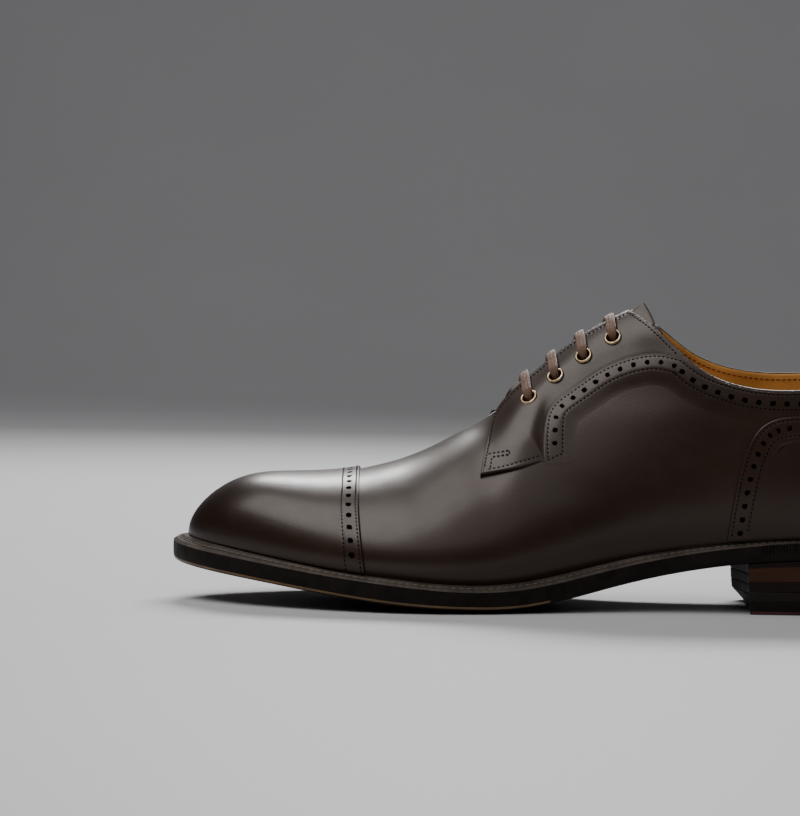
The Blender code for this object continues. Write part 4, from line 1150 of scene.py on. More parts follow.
def facing_edges(side):
    """Gives laps and rises of the facing's two edges: front, throat and collar, and foot and band."""
    front_station, front_height = path_through(FACING_FRONT, EDGE_POINTS)
    front_lap = lap_at(front_station)
    front_rise = rise_at_height(LATERAL, front_lap, front_height)
    throat_station = np.linspace(FLAP_TOP, COLLAR_FRONT, 3 * EDGE_POINTS)
    throat_lap = lap_at(throat_station)
    throat_rise = rise_beside_ridge(side, throat_lap, facing_half(throat_station))
    throat_rise = np.minimum(throat_rise, collar_rise(side, throat_lap))
    foot_station, foot_height = path_through(FACING_FOOT, EDGE_POINTS)
    foot_lap = lap_at(foot_station)
    foot_rise = rise_at_height(LATERAL, foot_lap, foot_height)
    band_lap, band_rise = band_line(side)
    beside = np.linspace(0, LINE_POINTS - 1, 3 * EDGE_POINTS)
    high = np.concatenate([front_lap, throat_lap]), np.concatenate([front_rise, throat_rise])
    low = (
        np.concatenate([foot_lap, pick(band_lap, beside)]),
        np.concatenate([foot_rise, pick(band_rise, beside)]),
    )
    return high, low


def read_edge(edge, share):
    """Reads a facing's edge: the flap's part of it at the first share, the rest after it."""
    flap = np.clip(share / FLAP_SHARE, 0.0, 1.0) * (EDGE_POINTS - 1)
    rest = np.clip((share - FLAP_SHARE) / (1 - FLAP_SHARE), 0.0, 1.0) * (3 * EDGE_POINTS - 1)
    index = np.where(share <= FLAP_SHARE, flap, EDGE_POINTS + rest)
    places = np.arange(4 * EDGE_POINTS)
    return np.interp(index, places, edge[0]), np.interp(index, places, edge[1])


# %% [markdown]
# ### Room for the eyelets
# Each eyelet goes through facing, wall and lining. A boolean cut would leave ragged shading on a curved
# skin, so the faces inside the circle are taken out, and the points left at its border move onto it.


# %% Room for the eyelets
def eyelet_frame(side, number):
    """Gives an eyelet's lap and rise on the last, its centre and the direction that it faces."""
    rows = np.arange(len(EYELETS["station"]))
    lap = lap_at(np.interp(number, rows, EYELETS["station"]))
    height = np.interp(number, rows, EYELETS["height"])
    share = rise_at_height(LATERAL, lap, height) / rim_rise(LATERAL, lap)
    rise = share * rim_rise(side, lap)
    return lap, rise, last_point(side, lap, rise), last_normal(side, lap, rise)


def drill(piece, side):
    """Takes the faces inside the eyelets out of a piece and rounds the edges that are left."""
    radius = EYELET_ROOM * MM
    shape = bmesh.new()
    shape.from_mesh(piece.data)
    for number in range(len(EYELETS["station"])):
        _, _, centre, axis = eyelet_frame(side, number)
        centre = Vector(to_frame(centre))
        axis = Vector(axis)

        def apart(place):
            offset = place - centre
            depth = axis * offset.dot(axis)
            return depth, offset - depth

        def inside(place):
            depth, aside = apart(place)
            return depth.length < 6 * MM and aside.length < radius

        gone = [face for face in shape.faces if inside(face.calc_center_median())]
        bmesh.ops.delete(shape, geom=gone, context="FACES")
        for point in [point for point in shape.verts if inside(point.co)]:
            depth, aside = apart(point.co)
            point.co = centre + depth + aside * (radius / max(aside.length, 1e-6))
    shape.to_mesh(piece.data)
    shape.free()
    return piece


# %% [markdown]
# ### The facings as shells
# The two edges of a facing become the long sides of one grid. The flap in front lies on the vamp, the rest
# tucks in under the band, and the stitch rows keep their distance from the edges.


# %% Two facings
def seam_along(top, low, distance, inset, columns):
    """Keeps the stitch row that runs at a distance from an edge of the facing."""
    rows = np.arange(distance.shape[1], dtype=float)
    at = [np.interp(inset[column], *zip(*sorted(zip(distance[column], rows)))) for column in columns]
    line = sample(top, columns.astype(float), np.array(at))
    stitch_lines.append((line, unit(line - sample(low, columns.astype(float), np.array(at))), 0.4, 0.4))


def make_facing(side, name):
    high_edge, low_edge = facing_edges(side)
    share = np.linspace(0.0, 1.0, FACING_COLUMNS + 1)[:, None]
    high_lap, high_rise = read_edge(high_edge, share)
    low_lap, low_rise = read_edge(low_edge, share)
    span = last_point(side, high_lap, high_rise) - last_point(side, low_lap, low_rise)
    width = np.maximum(np.linalg.norm(span, axis=-1), 0.05)
    past_flap = soft_step(share, FLAP_SHARE - 0.015, FLAP_SHARE + 0.01)
    tuck = FACING_TUCK / width * past_flap
    row = (1 - np.cos(np.pi * np.linspace(0.0, 1.0, FACING_ROWS + 1)))[None, :] / 2
    across = row * (1 + tuck) - tuck
    lap = low_lap + (high_lap - low_lap) * across
    rise = low_rise + (high_rise - low_rise) * across
    from_low = across * width
    from_high = (1 - across) * width
    least = 0.02 + 0.28 * soft_step(share, FLAP_SHARE, FLAP_SHARE + 0.12)
    dip = least + (FACING_TOP - least) * soft_step(from_low, -1.2, 12.0)
    tuck_in = np.minimum(share / FLAP_SHARE, 1.0) ** 2
    height = FACING_TOP + (dip - FACING_TOP) * tuck_in
    height = height * (1 - 0.8 * soft_step(share, 0.86, 1.0))
    round_low = quarter_round(from_low, 0.7)
    edge = np.minimum(quarter_round(from_high, 0.7), round_low + (1 - round_low) * past_flap)
    inset = FACING_STITCH + 1.2 * soft_step(share, FLAP_SHARE, FLAP_SHARE + 0.06)
    inset = inset - 0.6 * soft_step(share, 0.7, 0.85)
    low_lift = 0.15 * height
    seams = groove(from_high, inset, 0.4, 0.07) + groove(from_low, 0.1, 0.8, 0.4) * past_flap
    seams = seams + groove(from_low, FACING_STITCH, 0.4, 0.07) * (1 - past_flap)
    top_lift = low_lift + 0.1 + (0.85 * height - 0.1) * edge + seams * np.minimum(height / 1.5, 1.0)
    top = off_last(side, lap, rise, top_lift)
    low = off_last(side, lap, rise, low_lift)
    columns = np.arange(FACING_COLUMNS + 1)
    seam_along(top, low, from_high, inset[:, 0], columns[(columns > 9) & (width[:, 0] > 3.8)])
    foot_inset = np.full(len(columns), FACING_STITCH)
    seam_along(top, low, from_low, foot_inset, columns[(columns > 9) & (share[:, 0] < FLAP_SHARE)])
    tack_lap = np.interp(np.linspace(0, 4, 60), np.arange(5), lap_at(BAR_TACK["station"]))
    tack_height = np.interp(np.linspace(0, 4, 60), np.arange(5), BAR_TACK["height"])
    tack_rise = rise_at_height(LATERAL, tack_lap, tack_height)
    tack = off_last(side, tack_lap, tack_rise, np.full(60, FACING_TOP + 0.02))
    stitch_lines.append((tack, last_normal(side, tack_lap, tack_rise), 0.0, 0.0))
    return drill(make_shell(name, top, low, [CALF]), side)


settle(make_facing(LATERAL, "facing_leather_lateral"), "upper_leather", "facing_lateral")
settle(make_facing(MEDIAL, "facing_leather_medial"), "upper_leather", "facing_medial")
for wall_name in ("upper_wall", "lining"):
    for wall_side in (LATERAL, MEDIAL):
        drill(bpy.data.objects[wall_name], wall_side)

# %% [markdown]
# ## The toe cap
# A straight cap of the same calf is stitched over the vamp with a punched row along its edge. Its grid is
# fine across the seam and coarser towards the toe. The rows across the shoe are spaced evenly on the line
# of holes, so that all holes come out round, and the darker burnish towards the tip is in the finish.

# %% The toe cap
CAP_EDGE = 227.5
CAP_SWEEP = 3.5
CAP_SWEEP_RISE = 0.52
CAP_SWEEP_REACH = 30.0
CAP_THICKNESS = 1.2
CAP_ROWS = (1.2, 6.7)
CAP_HOLES = 4.0
CAP_HOLE_PITCH = 5.5
CAP_PITCH = 0.45
OVERLAY_FOOT = 0.012


def swept_lap(lap, rise):
    """Moves laps back near the sole, so that the cap's edge slants there, and less further ahead."""
    station = station_at(lap)
    low = np.clip(1 - rise / CAP_SWEEP_RISE, 0.0, 1.0) ** 1.5
    near = np.clip(1 - (station - CAP_EDGE) / CAP_SWEEP_REACH, 0.0, 1.0)
    return lap_at(station - CAP_SWEEP * low * near)


def make_toe_cap():
    fine = np.concatenate([EDGE_LANES, np.arange(0.75, 8.4, 0.34)])
    coarse = np.linspace(lap_at(CAP_EDGE + fine[-1]), 1.0, 48)[1:]
    lap = np.concatenate([lap_at(CAP_EDGE + fine), coarse])
    across = np.concatenate([fine, 9.0 + np.arange(len(coarse))])
    lift = CAP_THICKNESS * quarter_round(across, 0.45) - 0.3 * (across == 0)
    for place in CAP_ROWS:
        lift = lift + groove(across, place, 0.4, 0.05)
    rise = np.linspace(OVERLAY_FOOT, 1.0, 500)
    hole_lap = np.full(rise.shape, lap_at(CAP_EDGE + CAP_HOLES))
    sheets = []
    lengths = []
    for side in (LATERAL, MEDIAL):
        _, even_rise, along = even_line(side, hole_lap, rise, CAP_PITCH)
        laps = swept_lap(lap[None, :], even_rise[:, None])
        rises = np.broadcast_to(even_rise[:, None], laps.shape)
        foot = quarter_round(along[:, None] + 0.05, 0.6)
        lifts = lift[None, :] * foot - 0.1 * (1 - foot)
        top = off_last(side, laps, rises, lifts)
        low = off_last(side, laps, rises, np.minimum(lifts - 0.3, -0.4))
        sheets.append(np.stack([top, low]))
        lengths.append(along)
    top, low = np.concatenate([sheets[0], sheets[1][:, -2::-1]], axis=1)
    middle = lengths[0][-1]
    along = np.concatenate([lengths[0], middle + lengths[1][-1] - lengths[1][-2::-1]])
    for place in CAP_ROWS:
        note_row(top, low, along, across, (along, np.full(along.shape, place)), 0.8, 0.8)
    numbers = np.arange(-12, 13)
    places = middle + (numbers + 0.5) * CAP_HOLE_PITCH
    holes = [(at, CAP_HOLES) for at in places if 1.8 < at < along[-1] - 1.8]
    top, low, sunk = punch(top, low, along, across, holes)
    return make_shell("toe_cap_leather", top, low, [CALF, HOLE_SHADE_LOOK], sunk=sunk)


settle(make_toe_cap(), "upper_leather", "toe_cap")

# %% [markdown]
# ## The counter
# The counter wraps the heel. Its punched edge rises from the sole, rounds a corner and runs level round
# the back. As with the band, a fine strip follows the edge, and a plain sheet fills the field inside it.

# %% The counter
COUNTER_LENGTH = 82.0
COUNTER_FOOT = 29.0
COUNTER_RISE = 50.0
COUNTER_ROUNDNESS = (13.0, 1.2)
COUNTER_THICKNESS = 1.2
COUNTER_ROWS = (1.5, 7.6)
COUNTER_HOLES = 4.6
COUNTER_FIRST_HOLE = 3.4
COUNTER_INSET = 9.0
COUNTER_ACROSS = np.concatenate([EDGE_LANES, np.arange(0.75, 8.8, 0.34), [9.2, 9.8, 10.4, 11.0]])


def counter_height(station, inset=0.0):
    """Gives the counter's top edge, or a line inside it: level at the back, rounding down to the front."""
    length_power, height_power = COUNTER_ROUNDNESS
    share = np.clip(station / (COUNTER_LENGTH - inset), 0.0, 1.0)
    return COUNTER_FOOT + (COUNTER_RISE - inset) * (1 - share**length_power) ** (1 / height_power)


def make_counter_edge(side, name):
    station = HEEL_MARGIN + (COUNTER_LENGTH - HEEL_MARGIN - 0.01) * (1 - np.linspace(0.0, 1.0, 900) ** 2.2)
    lap = lap_at(station)
    rise = np.maximum(rise_at_height(side, lap, counter_height(station)), OVERLAY_FOOT)
    lap, rise, along = even_line(side, lap, rise, STRIP_PITCH)
    laps, rises = lanes_beside(side, lap, rise, COUNTER_ACROSS)
    rises = np.maximum(rises, OVERLAY_FOOT)
    lift = COUNTER_THICKNESS * quarter_round(COUNTER_ACROSS, 0.45) - 0.3 * (COUNTER_ACROSS == 0)
    lift = lift - 0.25 * soft_step(COUNTER_ACROSS, 9.4, 11.0)
    for place in COUNTER_ROWS:
        lift = lift + groove(COUNTER_ACROSS, place, 0.4, 0.12)
    lifts = np.broadcast_to(lift[None, :], laps.shape)
    top = off_last(side, laps, rises, lifts)
    low = off_last(side, laps, rises, np.minimum(lifts - 0.3, -0.4))
    for place in COUNTER_ROWS:
        note_row(top, low, along, COUNTER_ACROSS, (along, np.full(along.shape, place)), 0.8 + place / 4)
    holes = [(at, COUNTER_HOLES) for at in np.arange(COUNTER_FIRST_HOLE, along[-1] - 1.5, HOLE_PITCH)]
    top, low, sunk = punch(top, low, along, COUNTER_ACROSS, holes)
    return make_shell(name, top, low, [CALF, HOLE_SHADE_LOOK], sunk=sunk)


def make_counter_field():
    lap = np.linspace(lap_at(COUNTER_LENGTH - COUNTER_INSET - 0.2), 0.0, 70)
    rows = np.linspace(0.0, 1.0, 46)[:, None]
    sheets = []
    for side in (LATERAL, MEDIAL):
        top_rise = rise_at_height(side, lap, counter_height(station_at(lap), COUNTER_INSET))
        rise = OVERLAY_FOOT + np.maximum(top_rise - OVERLAY_FOOT, 0.002)[None, :] * rows
        laps = np.broadcast_to(lap[None, :], rise.shape)
        lift = np.full(rise.shape, COUNTER_THICKNESS - 0.08)
        sheets.append(np.stack([off_last(side, laps, rise, lift), off_last(side, laps, rise, lift - 1.6)]))
    top, low = np.concatenate([sheets[0], sheets[1][:, :, -2::-1]], axis=2)
    return make_shell("counter_field", top, low, [CALF])


settle(make_counter_field(), "upper_leather", "counter")
settle(make_counter_edge(LATERAL, "counter_edge_lateral"), "upper_leather", "counter")
settle(make_counter_edge(MEDIAL, "counter_edge_medial"), "upper_leather", "counter")
sink_under_holes(bpy.data.objects["upper_wall"])
sink_under_holes(bpy.data.objects["counter_field"])

# %% [markdown]
# ## Tongue, eyelets and lace
# The tongue is a leather sheet under the facings, with a raw cut edge that stands up at the top. The
# eyelets are turned from one rolled profile, as they are rolled from brass tube. The lace is one flat
# section swept along its whole way: straight bars on top, hidden climbs below, pinched at the eyelets.

# %% The tongue
TONGUE = table(
    "station depth lift half_width",
    (115.5, 5.0, 6.4, 22),
    (126, 5.0, 3.0, 26),
    (140, 5.0, 1.4, 27),
    (152, 5.0, 1.6, 27),
    (162, 4.8, 5.0, 26),
    (167, 4.5, 7.8, 25),
    (170, 4.2, 8.6, 25),
    (172.5, 4.0, 6.3, 24.5),
    (174.5, 3.9, 2.2, 24),
    (177, 3.8, 0.0, 24),
    (188, 3.0, 0.0, 22),
)
TONGUE_SLANT = 0.45
TONGUE_FOLD = 8.0
TONGUE_LEATHER = 2.0
TONGUE_COLUMNS = 84
TONGUE_ROWS = 96


def make_tongue():
    depth = along_last(TONGUE, "depth")
    push = along_last(TONGUE, "lift")
    half = along_last(TONGUE, "half_width")
    row = np.linspace(0.0, 1.0, TONGUE_ROWS + 1)
    lap = lap_at(TONGUE["station"][-1] + (TONGUE["station"][0] - TONGUE["station"][-1]) * row)
    sheets = []
    for side in (LATERAL, MEDIAL):
        offset = np.linspace(1.0, 0.0, TONGUE_COLUMNS // 2 + 1)[None, :] * half(lap)[:, None]
        laps = lap_at(station_at(lap)[:, None] - TONGUE_SLANT * row[:, None] ** 2 * offset)
        rise = rise_beside_ridge(side, laps, offset)
        fold = TONGUE_FOLD + 6.0 * soft_step(row, 0.55, 0.95)[:, None]
        raised = push(laps) * np.clip(1 - offset / fold, 0.0, 1.0) ** 1.2
        roof = np.maximum(push(laps) * (1 - offset / 7.5), -1.5)
        raised = raised + (roof - raised) * soft_step(row, 0.62, 0.9)[:, None]
        rim = 0.35 * (1 - quarter_round((1 - row)[:, None] * 72.0, 0.8))
        top = off_last(side, laps, rise, -depth(laps) - rim)
        low = off_last(side, laps, rise, -depth(laps) - TONGUE_LEATHER)
        top[..., 2] += raised
        low[..., 2] += raised
        sheets.append(np.stack([top, low]))
    top, low = np.concatenate([sheets[0], sheets[1][:, :, -2::-1]], axis=2)
    return make_shell("tongue_leather", top, low, [CALF, RAW_EDGE, LINING], low_look=2, skirt_look=1)


settle(make_tongue(), "upper_leather", "tongue")

# %% [markdown]
# ## The eyelets
# A brass eyelet is a short tube whose ends are rolled over. It is a turned part, so a short table holds its
# profile, and a grid spun round the hole's axis gives the lip its smooth roll.

# %% The eyelets
EYELET_STEPS = 40
EYELET_SEAT = 2.0
EYELET_PROFILE = table(
    "radius height",
    (2.30, -4.2),
    (2.30, -1.0),
    (2.34, -0.25),
    (2.46, 0.12),
    (2.66, 0.40),
    (2.92, 0.55),
    (3.18, 0.54),
    (3.42, 0.38),
    (3.60, 0.12),
    (3.64, -0.12),
    (3.30, -0.2),
    (2.62, -0.3),
    (2.62, -4.2),
    (2.30, -4.2),
)


def antique_brass():
    look = Finish("antique_brass", (0.36, 0.26, 0.15), 0.32, Metallic=1.0)
    wear = look.remap(look.noise(420.0, 4.0), 0.35, 0.65, 0.0, 1.0)
    look.set("Base Color", look.blend(wear, (0.30, 0.20, 0.105), (0.72, 0.56, 0.36)))
    look.set("Roughness", look.remap(wear, 0.0, 1.0, 0.45, 0.26))
    look.bump(look.noise(1500.0, 3.0), 0.08, 0.0001)
    return look.material


BRASS = antique_brass()


def make_eyelet(side, number, name):
    _, _, centre, axis = eyelet_frame(side, number)
    turn = np.linspace(0.0, 2 * np.pi, EYELET_STEPS + 1)[:, None]
    stance = Vector(axis).to_track_quat("Z", "Y").to_matrix()
    across = np.array(stance.col[0])
    upward = np.array(stance.col[1])
    radius = EYELET_PROFILE["radius"][None, :, None]
    height = EYELET_PROFILE["height"][None, :, None] + EYELET_SEAT
    around = across * np.cos(turn)[..., None] + upward * np.sin(turn)[..., None]
    points = centre + around * radius + axis * height
    rows, columns = points.shape[:2]
    return make_piece(name, points.reshape(-1, 3), grid_quads(rows, columns), [BRASS], sharp=70.0)


for eyelet_side, side_name in ((LATERAL, "lateral"), (MEDIAL, "medial")):
    for number in range(len(EYELETS["station"])):
        made = make_eyelet(eyelet_side, number, f"brass_eyelet_{side_name}_{number + 1}")
        settle(made, "eyelet_brass", f"eyelet_{side_name}_{number + 1}")

# %% [markdown]
# ## The lace
# One flat waxed lace makes four straight bars. It comes up through an eyelet, lies flat across the tongue,
# dives into the eyelet opposite and goes on under the facing to another pair. Its way is a list of stops
# on the surface of the last, and its hidden ends stop at the top eyelets.

# %% The way of the lace
LACE_WIDTH = 4.2
LACE_THICKNESS = 1.15
LACE_NARROW = 1.8
LACE_OVER = 3.6
LACE_UNDER = -3.5
LACE_SIDES = 36
LACE_RIBS = 7
LACE_CLIMB = table(
    "shift lift spread",
    (0.0, LACE_UNDER + 0.7, 0.0),
    (0.0, -0.5, 0.1),
    (0.1, 1.4, 0.35),
    (0.6, 2.5, 0.6),
    (1.7, LACE_OVER - 0.15, 0.9),
    (3.4, LACE_OVER, 1.0),
)
HIDDEN_END = table("eyelet shift", (2.95, -5.5), (2.6, -5.0), (2.25, -2.2))
HIDDEN_DOWN = table("eyelet shift", (1.75, -2.2), (1.4, -5.0), (1, -5.5), (0.6, -5.0), (0.25, -2.2))
HIDDEN_STEP = table("eyelet shift", (0.25, 0.0), (0.75, 0.0))
HIDDEN_UP = table("eyelet shift", (1.25, 1.6), (1.6, 4.0), (2, 4.6), (2.4, 4.0), (2.75, 1.6))


def waxed_lace():
    look = Finish("waxed_lace", (0.13, 0.078, 0.055), 0.5, Specular_IOR_Level=0.25)
    weave = look.node("ShaderNodeUVMap", uv_map="weave").outputs["UV"]
    twill = look.node("ShaderNodeTexWave", {"Vector": weave, "Scale": 1.6, "Distortion": 0.6})
    twill.bands_direction = "DIAGONAL"
    strands = look.noise(420.0, 4.0)
    colour = look.blend(strands, (0.080, 0.037, 0.021), (0.22, 0.125, 0.082))
    colour = look.blend(look.remap(twill.outputs["Fac"], 0.0, 1.0, 0.0, 0.35), colour, (0.05, 0.026, 0.018))
    look.set("Base Color", colour)
    look.bump(twill.outputs["Fac"], 0.35, 0.0003)
    return look.material


def eyelet_spot(side, row, shift, lift):
    """Gives a point beside an eyelet, shifted to the throat and lifted off the wall, and its normal."""
    lap, rise, _, _ = eyelet_frame(side, row)
    moved = rise + shift / np.linalg.norm(last_slopes(side, lap, rise)[1])
    return off_last(side, lap, moved, np.array(float(lift))), last_normal(side, lap, moved)


def throat_spot(side, row, lift):
    """Gives a point over the facing's edge beside an eyelet, and its normal."""
    lap = eyelet_frame(side, row)[0]
    edge = rise_beside_ridge(side, lap, FACING_HALF)
    return off_last(side, lap, edge, np.array(lift)), last_normal(side, lap, edge)


def lace_stops():
    """Lists the lace's way as points with the surface's normal, and how far it is spread at each."""
    stops = []
    climb = list(zip(*LACE_CLIMB.values()))

    def bar(start_side, row):
        for shift, lift, flatness in climb:
            stops.append((*eyelet_spot(start_side, row, shift, lift), flatness))
        for side in (start_side, -start_side):
            stops.append((*throat_spot(side, row, LACE_OVER), 1.0))
        for shift, lift, flatness in climb[::-1]:
            stops.append((*eyelet_spot(-start_side, row, shift, lift), flatness))

    def hide(side, run):
        for row, shift in zip(run["eyelet"], run["shift"]):
            stops.append((*eyelet_spot(side, row, shift, LACE_UNDER), 0.0))

    hide(LATERAL, HIDDEN_END)
    bar(LATERAL, 2)
    hide(MEDIAL, HIDDEN_DOWN)
    bar(MEDIAL, 0)
    hide(LATERAL, HIDDEN_STEP)
    bar(LATERAL, 1)
    hide(MEDIAL, HIDDEN_UP)
    bar(MEDIAL, 3)
    return stops


# %% [markdown]
# ### From stops to a flat lace
# Cutting the corners of the line a few times rounds it. The section is narrow in the eyelets and flat over
# the tongue, and a direction carried along the line keeps it from twisting in between.


# %% The lace
def cut_corners(values, rounds=3):
    """Rounds a line by cutting its corners a few times."""
    for _ in range(rounds):
        near = 0.75 * values[:-1] + 0.25 * values[1:]
        far = 0.25 * values[:-1] + 0.75 * values[1:]
        between = np.stack([near, far], axis=1).reshape(-1, *values.shape[1:])
        values = np.concatenate([values[:1], between, values[-1:]])
    return values


def carried_frame(run, normals, spread):
    """Carries a sideways direction along a path, and lays it on the surface where the lace is spread."""
    sideways = np.zeros(run.shape)
    guide = np.array([1.0, 0.0, -1.0])
    for index, forward in enumerate(run):
        across = unit(np.cross(forward, normals[index]))
        across = across * np.sign(across @ guide)
        guide = guide + across * min(spread[index], 0.5)
        guide = unit(guide - forward * (guide @ forward))
        sideways[index] = guide
    return sideways


def make_lace():
    path, normals, spread = (cut_corners(np.array(column)) for column in zip(*lace_stops()))
    run = unit(np.gradient(path, axis=0))
    flat = carried_frame(run, unit(normals), spread)
    thin = np.cross(run, flat)
    half_width = (LACE_NARROW + (LACE_WIDTH - LACE_NARROW) * spread) / 2
    half_thick = (LACE_NARROW + (LACE_THICKNESS - LACE_NARROW) * spread) / 2
    angle = np.linspace(0.0, 2 * np.pi, LACE_SIDES + 1)
    wide = np.sign(np.cos(angle)) * np.abs(np.cos(angle)) ** 0.8
    thick = np.sign(np.sin(angle)) * np.abs(np.sin(angle)) ** 0.6
    thick = thick * (1 + 0.1 * np.cos(np.pi * LACE_RIBS * wide))
    points = path[:, None] + flat[:, None] * (half_width[:, None] * wide)[..., None]
    points = points + thin[:, None] * (half_thick[:, None] * thick)[..., None]
    tips = np.repeat(path[[0, -1], None], LACE_SIDES + 1, axis=1)
    points = np.concatenate([tips[:1], points, tips[1:]])
    rows, columns = points.shape[:2]
    quads = grid_quads(rows, columns)
    lace = make_piece("waxed_lace", points.reshape(-1, 3), quads, [waxed_lace()], sharp=60.0)
    centres = np.array([point.co for point in lace.data.vertices])
    weave = lace.data.uv_layers.new(name="weave")
    way = np.concatenate([[0.0], np.cumsum(np.linalg.norm(np.diff(path, axis=0), axis=-1))])
    corners = np.array([loop.vertex_index for loop in lace.data.loops])
    frame_path = to_frame(path)
    nearest = np.array([np.argmin(((frame_path - place) ** 2).sum(axis=-1)) for place in centres])
    offset = (centres - frame_path[nearest]) / MM
    across = (offset * flat[nearest]).sum(axis=-1)
    spots = np.stack([way[nearest], across], axis=-1)[corners]
    weave.data.foreach_set("uv", spots.astype(np.float32).ravel())
    return lace


settle(make_lace(), "lace_cord", "lace")

# %% [markdown]
# ## Welt, outsole and insole
# The welt is a leather strip sewn round the upper, and the outsole is sewn to it. Each layer is a cross
# profile carried round the whole outline, with columns close enough for the stitch marks on the welt and
# for the ribs that a wheel presses into the edge round the heel seat. The dark, waxed edge has a fine
# bright line at its foot, a painted highlight along the edge's lower bead.

# %% Finishes of the sole
WELT_THICKNESS = 2.7
WELT_LEDGE = 2.8
INSOLE_RISE = 1.5
SOLE_GAP = 0.3
SEAM = WELT_THICKNESS + 0.15
WELT_DROP = along_last(
    table(
        "station drop",
        (2.5, 0.5),
        (60, 0.7),
        (90, 1.5),
        (120, 1.9),
        (147, 1.9),
        (164, 1.8),
        (195, 1.7),
        (212, 1.5),
        (234, 1.3),
        (261, 1.8),
        (295.8, 1.9),
    ),
    "drop",
)
FLOOR_ROUNDING = 2.2
SOLE_PITCH = 0.4
WELT_STITCH = 3.0
RIB_PITCH = 1.3
RIB_END = 70.0
HIGHLIGHT_LINE_END = 0.001


def stained_leather(name, light, dark, roughness, scale=120.0, gloss=0.4, layers=None):
    look = Finish(name, light, roughness, Specular_IOR_Level=gloss)
    grain = look.noise(scale, 5.0, layers)
    look.set("Base Color", look.blend(look.remap(grain, 0.3, 0.7, 0.0, 1.0), dark, light))
    look.set("Roughness", look.remap(grain, 0.3, 0.7, roughness + 0.08, roughness - 0.06))
    look.bump(look.noise(6 * scale, 4.0, layers), 0.15, 0.0002)
    return look.material


WELT_TOP_LOOK = stained_leather(
    "welt_leather", (0.070, 0.052, 0.041), (0.032, 0.023, 0.018), 0.55, gloss=0.25
)
EDGE_LOOK = stained_leather("waxed_edge", (0.0125, 0.0085, 0.0070), (0.006, 0.0042, 0.0035), 0.5, 200.0, 0.12)
# Tan painted highlight along the lower bead of the sole's edge.
EDGE_HIGHLIGHT_LINE = stained_leather("painted_edge_highlight", (0.20, 0.115, 0.045), (0.11, 0.060, 0.024), 0.42)
TREAD_LOOK = stained_leather("tread_leather", (0.060, 0.022, 0.014), (0.034, 0.012, 0.008), 0.36)


# %% [markdown]
# ### Rings round the sole
# Welt, outsole and sock are each a profile that is carried round the sole. A row of a profile says how far
# out it lies, from which edge, on which level and how high above it.


# %% Rings round the sole
def ring_laps():
    """Gives laps of one side that are evenly spaced along the sole's edge."""
    laps = np.linspace(0.0, 1.0, 3000)
    edge = np.stack(bottom_edge(LATERAL, laps, MARGIN[LATERAL](laps)), axis=-1)
    return pick(laps, even_places(edge, SOLE_PITCH)[0])


def sole_height(side, lap, share, level):
    """Gives heights in the sole at a share of the way from its middle line to its edge."""
    mean_top = (welt_top(LATERAL, lap) + welt_top(MEDIAL, lap)) / 2
    top = mean_top + (welt_top(side, lap) - mean_top) * share
    if level == "top":
        return top
    return np.maximum(top - SOLE_DEPTH(lap) - SOLE_CROWN(lap) * (1 - share**FLOOR_ROUNDING), 0.0)


def sole_ring(profile, ribs=False):
    """Carries a profile round the sole. A row: share of the way out, inset, base, level, height above it."""
    laps = ring_laps()
    halves = []
    for side in (LATERAL, MEDIAL):
        rows = []
        for share, inset, base, level, above in profile:
            outward = {LATERAL: -inset, MEDIAL: -inset}
            if base == "edge":
                outward = {which: MARGIN[which](laps) - inset for which in (LATERAL, MEDIAL)}
            if ribs and share == 1.0 and base == "edge":
                edge = np.stack(bottom_edge(side, laps, 0.0), axis=-1)
                way = np.concatenate([[0.0], np.cumsum(np.linalg.norm(np.diff(edge, axis=0), axis=-1))])
                wave = np.cos(2 * np.pi * way / RIB_PITCH)
                seat = soft_step(station_at(laps), RIB_END, RIB_END - 3.0)
                outward[side] = outward[side] - (0.28 - 0.28 * wave) * seat * ribs[len(rows)]
            outer = np.stack(bottom_edge(LATERAL, laps, outward[LATERAL]), axis=-1)
            inner = np.stack(bottom_edge(MEDIAL, laps, outward[MEDIAL]), axis=-1)
            middle = (outer + inner) / 2
            plan = middle + ((outer if side == LATERAL else inner) - middle) * share
            height = sole_height(side, laps, np.full(laps.shape, share), level) + above
            rows.append(np.concatenate([plan, height[:, None]], axis=-1))
        halves.append(np.stack(rows, axis=1))
    return np.concatenate([halves[0], halves[1][-2::-1]])


def sole_piece(name, points, looks, lane_looks):
    rows, columns = points.shape[:2]
    face_looks = np.tile(lane_looks, rows - 1)
    return make_piece(name, points.reshape(-1, 3), grid_quads(rows, columns), looks, face_looks, sharp=45.0)


# %% [markdown]
# ### Welt, outsole and sock
# The welt has a lip against the upper, a stitch groove and a rounded edge with wheel marks at the heel seat.
# The outsole's edge is waxed dark, with a painted highlight line low on it, and the sock lies inside on the
# insole.

# %% Welt, outsole and sock
welt_profile = [
    (1.0, WELT_LEDGE, "last", "top", 0.0),
    (1.0, 0.2, "last", "top", 0.3),
    (1.0, -0.45, "last", "top", 0.5),
    (1.0, 3.1, "edge", "top", 0.0),
    (1.0, 2.7, "edge", "top", -0.3),
    (1.0, 2.3, "edge", "top", -0.3),
    (1.0, 1.9, "edge", "top", 0.0),
    (1.0, 1.2, "edge", "top", 0.05),
    (1.0, 0.5, "edge", "top", 0.0),
    (1.0, 0.15, "edge", "top", -0.2),
    (1.0, 0.0, "edge", "top", -0.55),
    (1.0, 0.0, "edge", "top", -1.5),
    (1.0, 0.0, "edge", "top", -2.3),
    (1.0, 0.0, "edge", "top", 0.03 - SEAM),
    (1.0, WELT_LEDGE, "last", "top", 0.03 - SEAM),
    (1.0, WELT_LEDGE, "last", "top", 0.0),
]
WELT_TILT = [0.0, 0.0, 0.0, 0.12, 0.25, 0.35, 0.45, 0.65, 0.9]
welt_ribs = [0.0] * 10 + [0.6, 1.0, 1.0, 0.6, 0.0, 0.0]
welt_points = sole_ring(welt_profile, welt_ribs)
half_drop = WELT_DROP(ring_laps())
